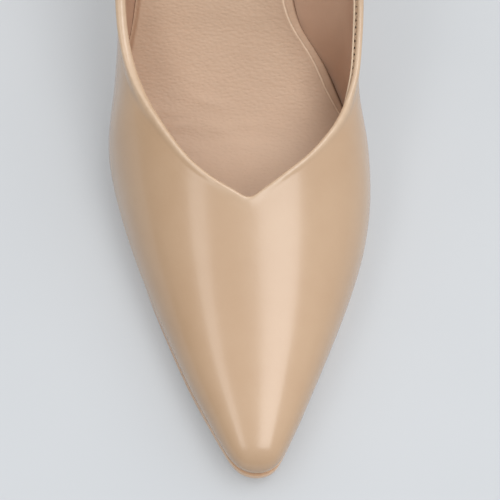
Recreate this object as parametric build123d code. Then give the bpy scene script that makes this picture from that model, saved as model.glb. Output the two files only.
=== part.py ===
"""High heel pump, right foot.  Millimetres, +Z up, toe towards -Y, inner (big toe) side towards +X.
The model is worked out in shoe coordinates (x, t, z), t running from the sole tip back to the heel, then moved so that
the origin sits at the bottom centre of the whole shoe."""
from build123d import *
import numpy as np
import os
from math import pi, sqrt, sin, cos, atan, atan2, degrees, radians

os.makedirs("parts", exist_ok=True)

# driving dimensions ------------------------------------------------------------------------
X0, T0 = 0.941, 123.4755            # shoe coordinates of the row origin
T_UPPER = 1.0                   # outer leather
T_LINING = 0.6                  # lining leather
GAP = 0.06                      # glue line between layers
T_PUFF, T_COUNTER = 0.7, 1.0    # toe and heel stiffeners at their thickest
T_BOARD = 1.5                   # insole board
T_SHANKBOARD = 1.2              # second board, heel to joints
T_SOCK = 0.9                    # leather sock
SOCK_LIFT = 5.22                # underside of the sock above the outsole, forepart
SEAM_LAT, SEAM_MED = 152.0, 150.0   # feather positions of the side seams
T_BREAST = 195.3                # rear end of the outsole, front of the heel
HEEL_TIP_Z = 6.4                # height of the top piece
HEEL_WRAP = 0.8                 # leather round the heel

# surface functions --------------------------------------------------------------------------
def nat_spline(xs, ys):
    """natural cubic spline, straight beyond its ends; ys may be (n,) or (n, k)"""
    x = np.asarray(xs, float); y = np.asarray(ys, float)
    one = y.ndim == 1
    if one: y = y[:, None]
    n = len(x); h = np.diff(x)
    A = np.zeros((n, n)); B = np.zeros((n, y.shape[1])); A[0, 0] = A[-1, -1] = 1.0
    for i in range(1, n - 1):
        A[i, i-1] = h[i-1]; A[i, i] = 2*(h[i-1]+h[i]); A[i, i+1] = h[i]
        B[i] = 6*((y[i+1]-y[i])/h[i] - (y[i]-y[i-1])/h[i-1])
    M = np.linalg.solve(A, B)
    s0 = (y[1]-y[0])/h[0] - h[0]*(2*M[0]+M[1])/6
    s1 = (y[-1]-y[-2])/h[-1] + h[-1]*(M[-2]+2*M[-1])/6
    def f(q):
        q = np.asarray(q, float); s = q.shape; q = q.ravel()
        d = np.clip(q, x[0], x[-1]); i = np.clip(np.searchsorted(x, d, side='right') - 1, 0, n-2)
        a = (x[i+1]-d)[:, None]; b = (d-x[i])[:, None]; hh = h[i][:, None]
        r = (M[i]*a**3 + M[i+1]*b**3)/(6*hh) + (y[i]/hh - M[i]*hh/6)*a + (y[i+1]/hh - M[i+1]*hh/6)*b
        r = r + np.minimum(q-x[0], 0)[:, None]*s0 + np.maximum(q-x[-1], 0)[:, None]*s1
        return r[:, 0].reshape(s) if one else r.reshape(s + (y.shape[1],))
    return f

def loop_spline(pts):
    """closed smooth curve through pts, chord length parameter; returns (function, period, knot values)"""
    P = np.asarray(pts, float)
    c = np.r_[0, np.cumsum(np.linalg.norm(np.diff(np.r_[P, P[:1]], axis=0), axis=1))]
    k = 6; X = np.r_[c[:-1][-k:]-c[-1], c[:-1], c[:-1][:k]+c[-1]]; Y = np.r_[P[-k:], P, P[:k]]
    g = nat_spline(X, Y)
    return (lambda q: g(np.mod(np.asarray(q, float), c[-1]))), c[-1], c[:-1]

def NZ(t, e=0.25):
    """length of the seat line's normal per unit of height: heights above ZB are measured square to it"""
    return np.sqrt(1+((ZB(np.asarray(t, float)+e)-ZB(np.asarray(t, float)-e))/(2*e))**2)

def smooth(a, b, x):
    s = np.clip((np.asarray(x, float)-a)/(b-a), 0, 1)
    return s*s*s*(s*(6*s-15)+10)

# profiles along the shoe (t = 0 at the sole tip) ----------------------------------------
# ZB: top of the outsole = underside of the lasted upper
ZB = nat_spline([-6, 0, 20, 45, 70, 94, 107, 122, 139, 156, 174, 194, 214, 229, 240, 252],
                [9.2, 8.3, 6.2, 4.3, 3.6, 3.6, 4.9, 10.9, 23.6, 39.6, 55.6, 69.0, 77.7, 82.3, 85.4, 88.6])
# ridge height and half widths of the forepart, against the root of the distance from the upper's tip
ST = np.array([1.0, 3, 6, 11, 21, 36, 51, 66, 76, 86, 96, 111, 131, 150])
_RZ = nat_spline(np.sqrt(ST-1), [11.6, 15.6, 17.8, 19.8, 22.6, 26.2, 30.6, 36.2, 40.6, 45.8, 51.2, 59.8, 73.0, 88])
WT = np.array([1.0, 2.0, 4, 8, 15, 26, 41, 56, 71, 86, 101, 116, 131, 151])
WL_T = [0, 4.2, 6.8, 9.6, 13.2, 18.5, 24.6, 30.1, 35.0, 39.1, 42.0, 42.6, 40.4, 37]
WM_T = [0, 4.1, 6.5, 9.0, 12.6, 17.6, 24.3, 30.6, 35.7, 38.5, 38.7, 37.1, 34.7, 31]
_wq = np.sqrt(WT-1)
_HW = nat_spline(np.r_[-_wq[::-1], _wq[1:]], np.r_[-np.array(WL_T)[::-1], np.array(WM_T)[1:]])   # signed
XR = nat_spline([1, 41, 76, 130, 150], [5.2, 4.3, 3.1, 2.4, 2.2])
def _q(t): return np.sqrt(np.maximum(np.asarray(t, float)-1.0, 0))
def ZR(t): return _RZ(_q(t))
def HB(t): return 3.5+5.0*(1-np.exp(-np.maximum(np.asarray(t, float)-1, 0)/30.0))
K1, K2 = 0.04, 0.045
def front(t, th):
    """arch section of the forepart at t: th = 0 on the lateral widest line, pi on the medial one"""
    t = np.asarray(t, float); q = _q(t)
    xl = XR(t)+_HW(-q); xm = XR(t)+_HW(q); xc = (xl+xm)/2; a = (xm-xl)/2; sk = XR(t)-xc
    zc = ZB(t)+HB(t); h = ZR(t)-zc
    c = np.cos(th); s = np.sin(th); g = 2*np.sin(2*th)
    return np.stack([xc-a*(c+K1*g*s)+sk*s**3, t+0*c, zc+h*(s+K2*g*c)], -1)
def widest_q(q):
    t = 1+q*q
    return np.stack([XR(t)+_HW(q), t, ZB(t)+HB(t)], -1)

# feather line: inset from the widest line in front, explicit behind ----------------------
INSET = nat_spline([1, 4, 10, 26, 56, 86, 112], [2.7, 2.5, 2.4, 2.7, 3.4, 4.3, 4.9])
def inset_pts(ts, sgn, extra=0.0):
    q = sgn*_q(np.asarray(ts, float)); e = 1e-3
    P = widest_q(q); d = widest_q(q+e)-widest_q(q-e)
    n = np.stack([-d[:, 1], d[:, 0]], -1); n /= np.linalg.norm(n, axis=1, keepdims=True)   # toward the heel side = inward
    return P[:, :2] + n*(INSET(P[:, 1])+extra)[:, None]
_ft = [2.0, 4.5, 9, 16, 27, 42, 57, 72, 86, 98]
FR_LAT = [(-35.9, 111), (-34.6, 123), (-31.6, 136), (-28.5, 149), (-26.2, 163), (-24.9, 178), (-24.4, 193), (-24.0, 207), (-22.2, 220), (-18.2, 230), (-12.0, 237), (-5.2, 240.2)]
FR_MED = [(35.0, 110), (30.9, 120.5), (25.0, 130.5), (19.4, 140), (15.4, 150), (13.9, 161), (14.9, 174), (17.5, 188), (20.2, 202), (20.8, 216), (18.0, 227.5), (11.8, 236), (4.0, 240.2)]
HEEL_F = (-0.6, 240.7)
_tip = inset_pts([1.0], 1.0)[0]
_FP = [HEEL_F] + FR_LAT[::-1] + [tuple(p) for p in inset_pts(_ft, -1.0)[::-1]] + [tuple(_tip)] + [tuple(p) for p in inset_pts(_ft, 1.0)] + FR_MED
_Fc, PER, _fk = loop_spline(_FP)
_ktoe = len(FR_LAT)+1+len(_ft); S_TOE = _fk[_ktoe]
def s_of_u(u): return PER*u + (S_TOE-PER/2)*np.sin(pi*np.asarray(u, float))**2
_ug = np.linspace(0, 1, 6001); _sg = s_of_u(_ug)
def u_at_s(s): return float(np.interp(s, _sg, _ug))
def feather(u):
    u = np.mod(np.asarray(u, float), 1.0); P = _Fc(s_of_u(u))
    return np.concatenate([P, ZB(P[..., 1])[..., None]], -1)
def plan_n(u, e=1e-4):
    d = feather(np.asarray(u, float)+e)-feather(np.asarray(u, float)-e)
    n = np.stack([d[..., 1], -d[..., 0], 0*d[..., 0]], -1)
    return n/np.linalg.norm(n, axis=-1, keepdims=True)
_fd = feather(_ug)[:, 1]
def u_of_t(t, lat=True):
    m = _ug <= 0.5
    if lat: return float(np.interp(t, np.maximum.accumulate(_fd[m][::-1]), _ug[m][::-1]))
    return float(np.interp(t, np.maximum.accumulate(_fd[~m]), _ug[~m]))

# topline ---------------------------------------------------------------------------------
def _arch_z(x, t):
    th = np.linspace(0.02, pi-0.02, 400); P = front(np.full_like(th, t), th)
    return float(np.interp(x, P[:, 0], P[:, 2]))
T_LAT = [(3.15, 77.25, None), (-1.6, 78.8, None), (-6.2, 80.9, None), (-10.5, 83.5, None), (-14.3, 86.6, None), (-19.5, 92.4, None), (-23.9, 98.5, None), (-28.0, 104.9, None), (-31.9, 112.4, 48.7),
         (-34.5, 120.5, 50.1), (-36.1, 130, 53.9), (-36.5, 141, 61.5), (-35.6, 154, 73.0), (-33.4, 169, 88.0), (-30.6, 185, 103.5), (-28.0, 200, 116.5), (-25.4, 213, 126.5), (-21.2, 225, 133.4), (-13.8, 233.9, 137.3), (-6.0, 238.4, 138.9)]
T_MED = [(6.7, 78.95, None), (10.0, 80.85, None), (14.3, 83.6, None), (18.7, 86.7, None), (25.0, 92.7, None), (29.8, 99.2, None), (32.9, 105.8, None), (35.4, 113.0, 47.4),
         (36.7, 121.5, 49.5), (37.3, 131, 54.1), (36.7, 143, 63.4), (35.1, 157, 76.5), (32.5, 172, 91.6), (29.6, 187, 105.8), (26.8, 201, 117.8), (24.0, 213.5, 127.0), (19.6, 225, 133.4), (12.2, 233.9, 137.3), (4.8, 238.4, 138.9)]
HEEL_T = (-0.6, 239.2, 139.2)
_TP = [HEEL_T] + T_LAT[::-1] + T_MED
_TP = [(x, t, _arch_z(x, t) if z is None else z) for x, t, z in _TP]
_Tc, TPER, _tk = loop_spline(_TP)
S_V = _tk[len(T_LAT)]
_tg = np.linspace(0, TPER, 6001); _Tg = _Tc(_tg)
def _sig_at_t(t, lat):
    m = (_tg <= S_V) if lat else (_tg >= S_V)
    g = _tg[m]; y = _Tg[m, 1]
    if lat: g = g[::-1]; y = y[::-1]
    return float(np.interp(t, np.maximum.accumulate(y), g))
_uk, _sk = [0.5], [S_V]
for _t, _a in ((14, 4.0), (30, 9.5), (50, 17.5), (70, 27.0), (88, 36.5)):
    _uk = [u_of_t(_t, True)]+_uk+[u_of_t(_t, False)]; _sk = [S_V-_a]+_sk+[S_V+_a]
for _t, _a in ((112, 108.0), (136, 129.5), (160, 153.0), (186, 181.0), (210, 207.0), (228, 226.0)):
    _uk = [u_of_t(_t, True)]+_uk+[u_of_t(_t, False)]; _sk = [_sig_at_t(_a, True)]+_sk+[_sig_at_t(_a, False)]
_uk = [0.0]+_uk+[1.0]; _sk = [0.0]+_sk+[TPER]
_sig = nat_spline(np.r_[np.array(_uk[-5:-1])-1, _uk, np.array(_uk[1:5])+1], np.r_[np.array(_sk[-5:-1])-TPER, _sk, np.array(_sk[1:5])+TPER])
def topline(u): return _Tc(_sig(np.mod(np.asarray(u, float), 1.0)))

_uq, _qq = [0.5], [0.0]
for _t in (2.0, 4.5, 9, 16, 27, 42, 57, 72, 86, 98):
    for _s in (-1, 1):
        _p = inset_pts([_t], float(_s))[0]; _g = _Fc(_sg); _m = (_ug < 0.5) if _s < 0 else (_ug > 0.5)
        _uu = float(_ug[_m][np.argmin(np.hypot(_g[_m, 0]-_p[0], _g[_m, 1]-_p[1]))]); _v = _s*float(_q(_t))
        if _s < 0: _uq = [_uu]+_uq; _qq = [_v]+_qq
        else: _uq.append(_uu); _qq.append(_v)
for _t in (113, 128, 143, 156):
    _uq = [u_of_t(_t, True)]+_uq+[u_of_t(_t, False)]; _qq = [-float(_q(_t))]+_qq+[float(_q(_t))]
_q_of_u = nat_spline(_uq, _qq)

# the outer skin of the upper: u round the shoe (0 heel, 0.5 toe, lateral half first), v feather to topline ----
R0 = 0.085
def _front_pt(u, r):
    """u (m,1), r (m,k)"""
    F = feather(u); W = widest_q(_q_of_u(np.mod(u, 1.0))); T = topline(u)
    rr = np.clip(r/R0, 0, 1)[..., None]; H = W-F; Hh = H.copy(); Hh[..., 2] = 0; Hz = H-Hh
    kb = 0.60
    B1 = F+Hh*kb; B2 = W-Hz*0.52
    roll = (1-rr)**3*F+3*(1-rr)**2*rr*B1+3*(1-rr)*rr*rr*B2+rr**3*W
    pw = 1.35+0.65*np.exp(-((np.mod(u, 1.0)-0.5)/0.06)**2)
    s = (np.clip((r-R0)/(1-R0), 0, 1)**pw)[..., None]
    C = W+s*(T-W); t = C[..., 1]; q = _q(t)
    xl = XR(t)+_HW(-q); xm = XR(t)+_HW(q); xc = (xl+xm)/2; a = np.maximum((xm-xl)/2, 1e-4)
    zc = ZB(t)+HB(t); h = np.maximum(ZR(t)-zc, 1e-4)
    th = np.arctan2(np.maximum((C[..., 2]-zc)/h, 0), -(C[..., 0]-xc)/a)
    P = front(t, th)
    # end on the topline exactly
    xlT = T[..., 1]; qT = _q(xlT); xl = XR(xlT)+_HW(-qT); xm = XR(xlT)+_HW(qT); zcT = ZB(xlT)+HB(xlT)
    thT = np.arctan2(np.maximum((T[..., 2]-zcT)/np.maximum(ZR(xlT)-zcT, 1e-4), 0), -(T[..., 0]-(xl+xm)/2)/((xm-xl)/2))
    P = P+(T-front(xlT, thT))*smooth(0, 1, s)
    return np.where((r < R0)[..., None], roll, P)

TUCK = (1.0, 0.45, (124, 145), (166, 205))   # how far the waist wall is drawn in: medial, lateral, where it comes and goes
def _rear_pt(u, r):
    F = feather(u); T = topline(u); nrm = plan_n(u); z = np.array([0, 0, 1.0])
    H = (T[..., 2]-F[..., 2])[..., None]; t = F[..., 1]
    heel = smooth(150, 215, t)[..., None]
    Dh = T-F; Dh = Dh*np.array([1, 1, 0.0]); out = (Dh*nrm).sum(-1)[..., None]; al = Dh-nrm*out
    k = (TUCK[0]*smooth(*TUCK[2], t)*(1-smooth(*TUCK[3], t))*(np.mod(u, 1.0) > 0.5)+TUCK[1]*smooth(*TUCK[2], t)*(1-smooth(*TUCK[3], t))*(np.mod(u, 1.0) <= 0.5))[..., None]
    c1 = (4.6+0.6*heel)*(1-0.80*k)
    b2 = (0.40*out+2.4+3.4*heel)*(1-0.66*k)
    P1 = F+nrm*c1; P2 = F+nrm*(b2+0.5*c1)+z*H*(0.15+0.06*heel)+al*0.15
    P3 = F+nrm*(0.78*out+2.8+3.2*heel-2.6*k)+z*H*0.60+al*0.6
    s = np.clip(r, 0, 1)[..., None]**1.15
    return (1-s)**4*F+4*(1-s)**3*s*P1+6*(1-s)**2*s*s*P2+4*(1-s)*s**3*P3+s**4*T

_rg = np.linspace(0, 1, 161)
def _arc_r(fn, u, V):
    """raw parameter that sits at the normalised arc length V (m,k) on each line"""
    P = fn(u, np.broadcast_to(_rg, (len(u), len(_rg))))
    L = np.concatenate([np.zeros((len(u), 1)), np.cumsum(np.linalg.norm(np.diff(P, axis=1), axis=2), 1)], 1)
    R = np.empty_like(V)
    for i in range(len(u)): R[i] = np.interp(V[i], L[i]/L[i, -1], _rg)
    return R, L[:, -1]

def line_len(u):
    u = np.atleast_1d(np.asarray(u, float))[:, None]; t = feather(u)[:, 0, 1]
    w = smooth(96, 140, t)
    A = _arc_r(_front_pt, u, np.zeros((len(u), 1)))[1]; B = _arc_r(_rear_pt, u, np.zeros((len(u), 1)))[1]
    return A*(1-w)+B*w

def skin(u, V):
    """u (m,), V (m,k): outer skin; v < 0 is the lasting margin turned in under the foot, in mm"""
    u = np.mod(np.asarray(u, float), 1.0)[:, None]; V = np.asarray(V, float)
    Vc = np.clip(V, 0, 1); t = feather(u)[..., 1]
    w = smooth(96, 140, t); wa = smooth(18, 60, t)
    P = np.zeros(V.shape+(3,)); fr = w[:, 0] < 1; rr = w[:, 0] > 0
    if fr.any():
        uf = u[fr]; Ra = _arc_r(_front_pt, uf, Vc[fr])[0]
        R = Vc[fr]*(1-wa[fr])+Ra*wa[fr]
        P[fr] += _front_pt(uf, R)*(1-w[fr])[..., None]
    if rr.any():
        ur = u[rr]; Rb = _arc_r(_rear_pt, ur, Vc[rr])[0]
        P[rr] += _rear_pt(ur, Rb)*w[rr][..., None]
    m = np.maximum(-V, 0)[..., None]*plan_n(u)
    Q = feather(u)-m; Q[..., 2] = ZB(Q[..., 1])
    return np.where((V < 0)[..., None], Q, P)

def skin_n(u, V, eu=5e-4, ev=2.5e-3):
    a = skin(u-eu, V); b = skin(u+eu, V)
    Vm = np.where(V < 0, V-0.05, np.clip(V-ev, 0, 1)); Vp = np.where(V < 0, np.minimum(V+0.05, -1e-9), np.clip(V+ev, 0, 1))
    c = skin(u, Vm); d = skin(u, Vp)
    n = np.cross(b-a, d-c); n /= np.linalg.norm(n, axis=-1, keepdims=True)
    return n

def layer(u, V, D):
    """points at depth D (mm, positive inward) below the outer skin"""
    return skin(u, V)-skin_n(u, V)*np.asarray(D, float)[..., None]

# stiffeners: thickness fields over the skin (u, v) ---------------------------------------------
def uc(u):                       # signed distance round the shoe from the heel back
    u = np.mod(np.asarray(u, float), 1.0)
    return np.where(u > 0.5, u-1.0, u)
def puff_top(u): return 0.10+0.40*np.sqrt(np.maximum(1-((np.mod(u, 1.0)-0.5)/0.098)**2, 0))
def f_puff(u, v):
    uu = np.mod(np.asarray(u, float), 1.0)[:, None]; e = np.abs(uu-0.5)
    return T_PUFF*(1-smooth(puff_top(uu)-0.05, puff_top(uu)+0.16, v))*(1-smooth(0.075, 0.118, e))*smooth(-0.01, 0.10, v)
def f_counter(u, v):
    a = np.abs(uc(u))[:, None]
    return T_COUNTER*(1-smooth(0.72, 0.90, v))*(1-smooth(0.105, 0.145, a))*smooth(-0.01, 0.08, v)
def f_tape(v): return 0.30*smooth(0.80, 0.90, v)
def stiff(u, v): return np.where(v < 0, 0.0, f_puff(u, v)+f_counter(u, v)+f_tape(v))

def margin(u):                   # width of the lasting margin turned under
    t = feather(u)[..., 1]
    return 2.0+6.5*smooth(4, 40, t)

# solids from pairs of offset skins -------------------------------------------------------------
def to_face(P):
    P = np.asarray(P, float); L = np.linalg.norm(np.diff(P, axis=1), axis=2).mean(0); c = np.r_[0, np.cumsum(L)]; c = c/c[-1]
    ws = [Wire([Edge.make_spline([Vector(*map(float, p)) for p in row], parameters=[float(x) for x in c])]) for row in P]
    return Shell.make_loft(ws, ruled=False).faces()[0]
def pick(f, p):
    p = Vector(*map(float, p))
    return min(f.edges(), key=lambda e: (e.position_at(0.5)-p).length)
def slab(A, B):
    """closed solid between two point grids of equal size"""
    fa, fb = to_face(A), to_face(B); m, k = len(A), len(A[0])
    sides = []
    for i in ((0, slice(None)), (m-1, slice(None)), (slice(None), 0), (slice(None), k-1)):
        ra, rb = A[i], B[i]; ca, cb = ra[len(ra)//2], rb[len(rb)//2]
        sides.append(Face.make_surface_from_curves(pick(fa, ca), pick(fb, cb)))
    s = Solid(Shell([fa, fb]+sides))
    if s.volume < 0: s = Solid(s.wrapped.Reversed())
    return s
def gridV(lo, hi, k, head=0.0, nh=0):
    """rows of v from lo(u) to hi(u); nh rows of margin in mm below zero when head > 0"""
    W = np.linspace(0, 1, k)[None, :]; V = lo[:, None]+(hi-lo)[:, None]*W
    if nh:
        V = np.concatenate([-head[:, None]*(1-np.linspace(0, 1, nh+1)[None, :-1]), V], 1)
    return V
def spaced(u0, u1, n):
    """u samples, closer together round the toe and the heel back"""
    g = np.linspace(u0, u1, 2001); c = np.mod(g, 1.0)
    d = 1+2.2*np.exp(-((c-0.5)/0.03)**2)+0.7*(np.exp(-(c/0.05)**2)+np.exp(-((c-1)/0.05)**2))
    s = np.r_[0, np.cumsum((d[1:]+d[:-1])/2)]; return np.interp(np.linspace(0, s[-1], n), s, g)

# sheet of leather as lasted: from the margin under the foot up to the topline
def lasted(u0, u1, n, k, d_out, d_in, v_hi=1.0, lo=None, nh=3, m_less=0.0):
    u = spaced(u0, u1, n); z = np.zeros(n)
    V = gridV(z if lo is None else z+lo, z+v_hi, k, margin(u)-m_less, nh if lo is None else 0)
    # closer rows at the rolled feather edge
    return u, V, slab(layer(u, V, d_out(u, V)), layer(u, V, d_in(u, V)))

UL, UM = u_of_t(SEAM_LAT, True), u_of_t(SEAM_MED, False)
eps = 0.00012                    # half the butt gap between neighbouring skins, as a share of the perimeter
parts = {}
def bead(v): return -0.35*smooth(0.90, 0.975, v)

def D_(val): return lambda u, V: val+0*V
# outer leather in three pieces, seams in the waist
for name, a, b, n in (("vamp", UL+eps, UM-eps, 72), ("quarter_lateral", eps, UL-eps, 34), ("quarter_medial", UM+eps, 1-eps, 34)):
    u, V, s = lasted(a, b, n, 26, lambda u, V: bead(V), D_(T_UPPER), nh=4)
    parts[name] = s
# toe puff and heel counter sit between the outer leather and the lining
def between(u0, u1, n, lo, hi, k, fn, d0):
    u = spaced(u0, u1, n); V = gridV(lo(u), hi(u), k)
    th = np.maximum(fn(u, V), 0.0)
    return slab(layer(u, V, d0+0*V), layer(u, V, d0+th))
parts["toe_puff"] = between(0.5-0.090, 0.5+0.090, 32, lambda u: 0.065+0*u, lambda u: puff_top(u), 10, f_puff, T_UPPER+GAP)
parts["heel_counter"] = between(-0.118, 0.118, 40, lambda u: 0.05+0*u, lambda u: 0.79+0*u, 20, f_counter, T_UPPER+GAP)
# topline tape: one long strip under the top edge, cut at the heel back
u = spaced(0.0012, 1-0.0012, 110); V = gridV(0*u+0.905, 0*u+0.985, 5)
parts["topline_tape"] = slab(layer(u, V, T_UPPER+0.04+0*V), layer(u, V, T_UPPER+0.25+0*V))
# linings follow the stiffeners
D_L0 = lambda u, V: T_UPPER+2*GAP*1.0+stiff(u, V)
D_L1 = lambda u, V: T_UPPER+2*GAP*1.0+T_LINING+stiff(u, V)
UG = 0.088                        # half width of the heel grip round the shoe
def v_edge(u): return 1-1.15/line_len(u)      # lining stops just under the crest
for name, a, b, n in (("vamp_lining", UL+eps, UM-eps, 72), ("quarter_lining_lateral", UG+eps, UL-eps, 24), ("quarter_lining_medial", UM+eps, 1-UG-eps, 24)):
    u = spaced(a, b, n); V = gridV(0*u, v_edge(u), 26, margin(u)-1.0, 4)
    parts[name] = slab(layer(u, V, D_L0(u, V)), layer(u, V, D_L1(u, V)))
u = spaced(-UG+eps, UG-eps, 34); V = gridV(0*u, v_edge(u), 26, margin(u)-1.0, 4)
parts["heel_grip"] = slab(layer(u, V, D_L0(u, V)), layer(u, V, D_L1(u, V)+0.15*smooth(0.0, 0.06, V)))
# thread line just inside the topline
u = spaced(0.0012, 1-0.0012, 150); ll = line_len(u); V = gridV(1-2.75/ll, 1-2.35/ll, 3)
parts["topline_stitching"] = slab(layer(u, V, T_UPPER+2*GAP+T_LINING+0.30+0.03+0.15*(1-smooth(UG, UG+0.004, np.abs(uc(u))))[:, None]+0*V), layer(u, V, T_UPPER+2*GAP+T_LINING+0.30+0.33+0.15*(1-smooth(UG, UG+0.004, np.abs(uc(u))))[:, None]+0*V))

# plates under the foot ---------------------------------------------------------------------------
def inner_out(u, hs, extra=0.0):
    """how far the inside of the lining stands out from the feather line at heights hs above ZB"""
    V = np.tile(np.linspace(0, 0.45, 90), (len(u), 1)); D = D_L1(u, V)+extra+0.15*(np.abs(uc(u)) < UG+0.01)[:, None]
    P = layer(u, V, D); F = feather(u); n = plan_n(u)
    h = (P[..., 2]-ZB(P[..., 1]))/NZ(P[..., 1]); o = ((P-F[:, None, :])*n[:, None, :]).sum(-1)
    out = np.full(len(u), 1e9)
    for k in range(len(u)):
        for hh in hs:
            i = int(np.argmax(h[k] >= hh)) if (h[k] >= hh).any() else len(h[k])-1
            if i > 0:
                f = (hh-h[k, i-1])/max(h[k, i]-h[k, i-1], 1e-9); v = o[k, i-1]*(1-f)+o[k, i]*f
            else: v = o[k, 0]
            out[k] = min(out[k], v)
    return out
def outline(u, off):
    F = feather(u); n = plan_n(u); return (F+n*off[:, None])[:, :2]
U_ALL = spaced(0.0, 1.0, 97)[:-1]
def prism(pts, z0=-30, z1=170, closed=True):
    w = Wire([Edge.make_spline([Vector(float(x), float(y), z0) for x, y in pts], periodic=True)])
    return Solid.extrude(Face(w), Vector(0, 0, z1-z0))
def band(lo, hi, t0, t1, n=40, xs=60):
    """solid between the heights lo(t) and hi(t), from t0 to t1, right across the shoe"""
    t = np.linspace(t0, t1, n)
    a = [Vector(-xs, float(q), float(lo(q))) for q in t]; b = [Vector(-xs, float(q), float(hi(q))) for q in t]
    w = Wire([Edge.make_spline(a), Edge.make_line(a[-1], b[-1]), Edge.make_spline(b[::-1]), Edge.make_line(b[0], a[0])])
    return Solid.extrude(Face(w), Vector(2*xs, 0, 0))
def one(s):
    ss = s.solids(); return max(ss, key=lambda q: q.volume) if len(ss) else s
H0 = T_UPPER+T_LINING+2*GAP+0.08       # top of the lasted margins
HBT = H0+T_BOARD                       # top of the insole board
HST = HBT+0.04+T_SHANKBOARD            # top of the shank board
off_b = inner_out(U_ALL, (H0, HBT))-0.12
off_s = inner_out(U_ALL, (HBT, HST))-0.15
def sock_h(t): t = np.asarray(t, float); return SOCK_LIFT-(SOCK_LIFT-HST-0.06)*smooth(108, 136, t)+2.3*smooth(178, 206, t)
off_p = inner_out(U_ALL, (HBT, SOCK_LIFT, SOCK_LIFT+T_SOCK))-0.12
tA = feather(U_ALL)[:, 1]
hs = np.stack([sock_h(tA), sock_h(tA)+T_SOCK], 1)
off_k = np.array([min(inner_out(U_ALL[i:i+1], hs[i])) for i in range(len(U_ALL))])-0.10
parts["insole_board"] = one(prism(outline(U_ALL, off_b)) & band(lambda t: ZB(t)+H0*NZ(t), lambda t: ZB(t)+HBT*NZ(t), 6.0, 242.0))
parts["shank_board"] = one(prism(outline(U_ALL, off_s)) & band(lambda t: ZB(t)+(HBT+0.04)*NZ(t), lambda t: ZB(t)+HST*NZ(t), 121.0, 240.0))
parts["ball_pad"] = one(prism(outline(U_ALL, np.minimum(off_p, off_s))) & band(lambda t: ZB(t)+(HBT+0.04)*NZ(t), lambda t: ZB(t)+(sock_h(t)-0.04)*NZ(t), 12.0, 119.5))
parts["heel_pad"] = one(prism(outline(U_ALL, np.minimum(off_k, off_s)-0.4)) & band(lambda t: ZB(t)+(HST+0.04)*NZ(t), lambda t: ZB(t)+(sock_h(t)-0.04)*NZ(t), 191.0, 236.0))
parts["sock"] = one(prism(outline(U_ALL, off_k)) & band(lambda t: ZB(t)+sock_h(t)*NZ(t), lambda t: ZB(t)+(sock_h(t)+T_SOCK)*NZ(t), 13.0, 243.0))
mg = margin(U_ALL)
parts["bottom_filler"] = one(prism(outline(U_ALL, -mg-0.6)) & band(lambda t: ZB(t)+0.05*NZ(t), lambda t: ZB(t)+(H0-0.05)*NZ(t), 14.0, 128.0))

# shank: a ribbed steel strip let in between the lasted margins
SH_X = -4.6
shank = band(lambda t: ZB(t)+0.62*NZ(t), lambda t: ZB(t)+(H0-0.08)*NZ(t), 131.0, 223.0) & prism([(SH_X-5.2+0.9*0, 131.6), (SH_X-4.6, 131.05), (SH_X, 130.9), (SH_X+4.6, 131.05), (SH_X+5.2, 131.6), (SH_X+5.4, 150), (SH_X+5.6, 180), (SH_X+5.4, 205), (SH_X+5.0, 221.5), (SH_X+4.2, 222.7), (SH_X, 222.95), (SH_X-4.2, 222.7), (SH_X-5.0, 221.5), (SH_X-5.4, 205), (SH_X-5.6, 180), (SH_X-5.4, 150)])
shank = one(shank)
rib = band(lambda t: ZB(t)+0.16*NZ(t), lambda t: ZB(t)+0.75*NZ(t), 146.0, 192.0) & Solid.make_box(2.0, 60, 200, Plane(origin=(SH_X-1.0, 140, -20)))
shank = one(shank + rib)

def slope(t): return float((ZB(t+0.5)-ZB(t-0.5))/1.0)
def peg(x, t, h0, h1, r, tilt=1.0):
    """round peg standing on the seat line at (x, t), from height h0 to h1 above it, square to the local slope times tilt"""
    a = atan(slope(t))*tilt; d = Vector(0, -sin(a), cos(a)); o = Vector(x, t, float(ZB(t)))
    return Solid.make_cylinder(r, h1-h0, Plane(origin=o+d*h0, z_dir=d))
def cut(name, tool): parts[name] = one(parts[name]-tool)

# outsole -------------------------------------------------------------------------------------------
ZO = nat_spline([-6, 0, 8, 20, 34, 50, 62, 69], [7.3, 6.35, 4.95, 3.30, 1.75, 0.55, 0.08, 0.0])
ZO2 = nat_spline([104, 110, 122, 139, 156, 174, 190, 200], [0.0, 1.15, 7.6, 20.9, 37.0, 53.2, 65.0, 71.2])
tf = np.linspace(-1, 69, 22); tr = np.linspace(104, 200, 30); tt = np.linspace(-1, 200, 60)
zo = np.maximum(ZO(tf), 0.0)
w = Wire([Edge.make_spline([Vector(-60, float(t), float(z)) for t, z in zip(tf, zo)]), Edge.make_line((-60, 69, 0), (-60, 104, 0)),
          Edge.make_spline([Vector(-60, float(t), float(ZO2(t))) for t in tr]), Edge.make_line((-60, 200, float(ZO2(200))), (-60, 200, float(ZB(200))-0.03)),
          Edge.make_spline([Vector(-60, float(t), float(ZB(t))-0.03) for t in tt[::-1]]), Edge.make_line((-60, -1, float(ZB(-1))-0.03), (-60, -1, float(zo[0])))])
sole_band = Solid.extrude(Face(w), Vector(120, 0, 0))
O_IN = nat_spline([1, 4, 12, 30, 60, 90, 112], [-0.1, 0.25, 0.6, 0.7, 1.2, 2.4, 3.6])
def sole_pts(ts, sg):
    return inset_pts(ts, sg, 0.0)-(inset_pts(ts, sg, 1.0)-inset_pts(ts, sg, 0.0))*(INSET(np.asarray(ts, float))-O_IN(np.asarray(ts, float)))[:, None]
_st = [1.7, 3.2, 6, 10, 16, 27, 42, 57, 72, 86, 97]
def waist_pts(ts, lat, off):
    us = np.array([u_of_t(t, lat) for t in ts]); return (feather(us)-plan_n(us)*off)[:, :2]
_wt = [113, 123, 134, 146, 159, 172, 184, 192, 200]
lat = np.concatenate([sole_pts(_st, -1.0)[::-1]]); med = sole_pts(_st, 1.0)
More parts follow.
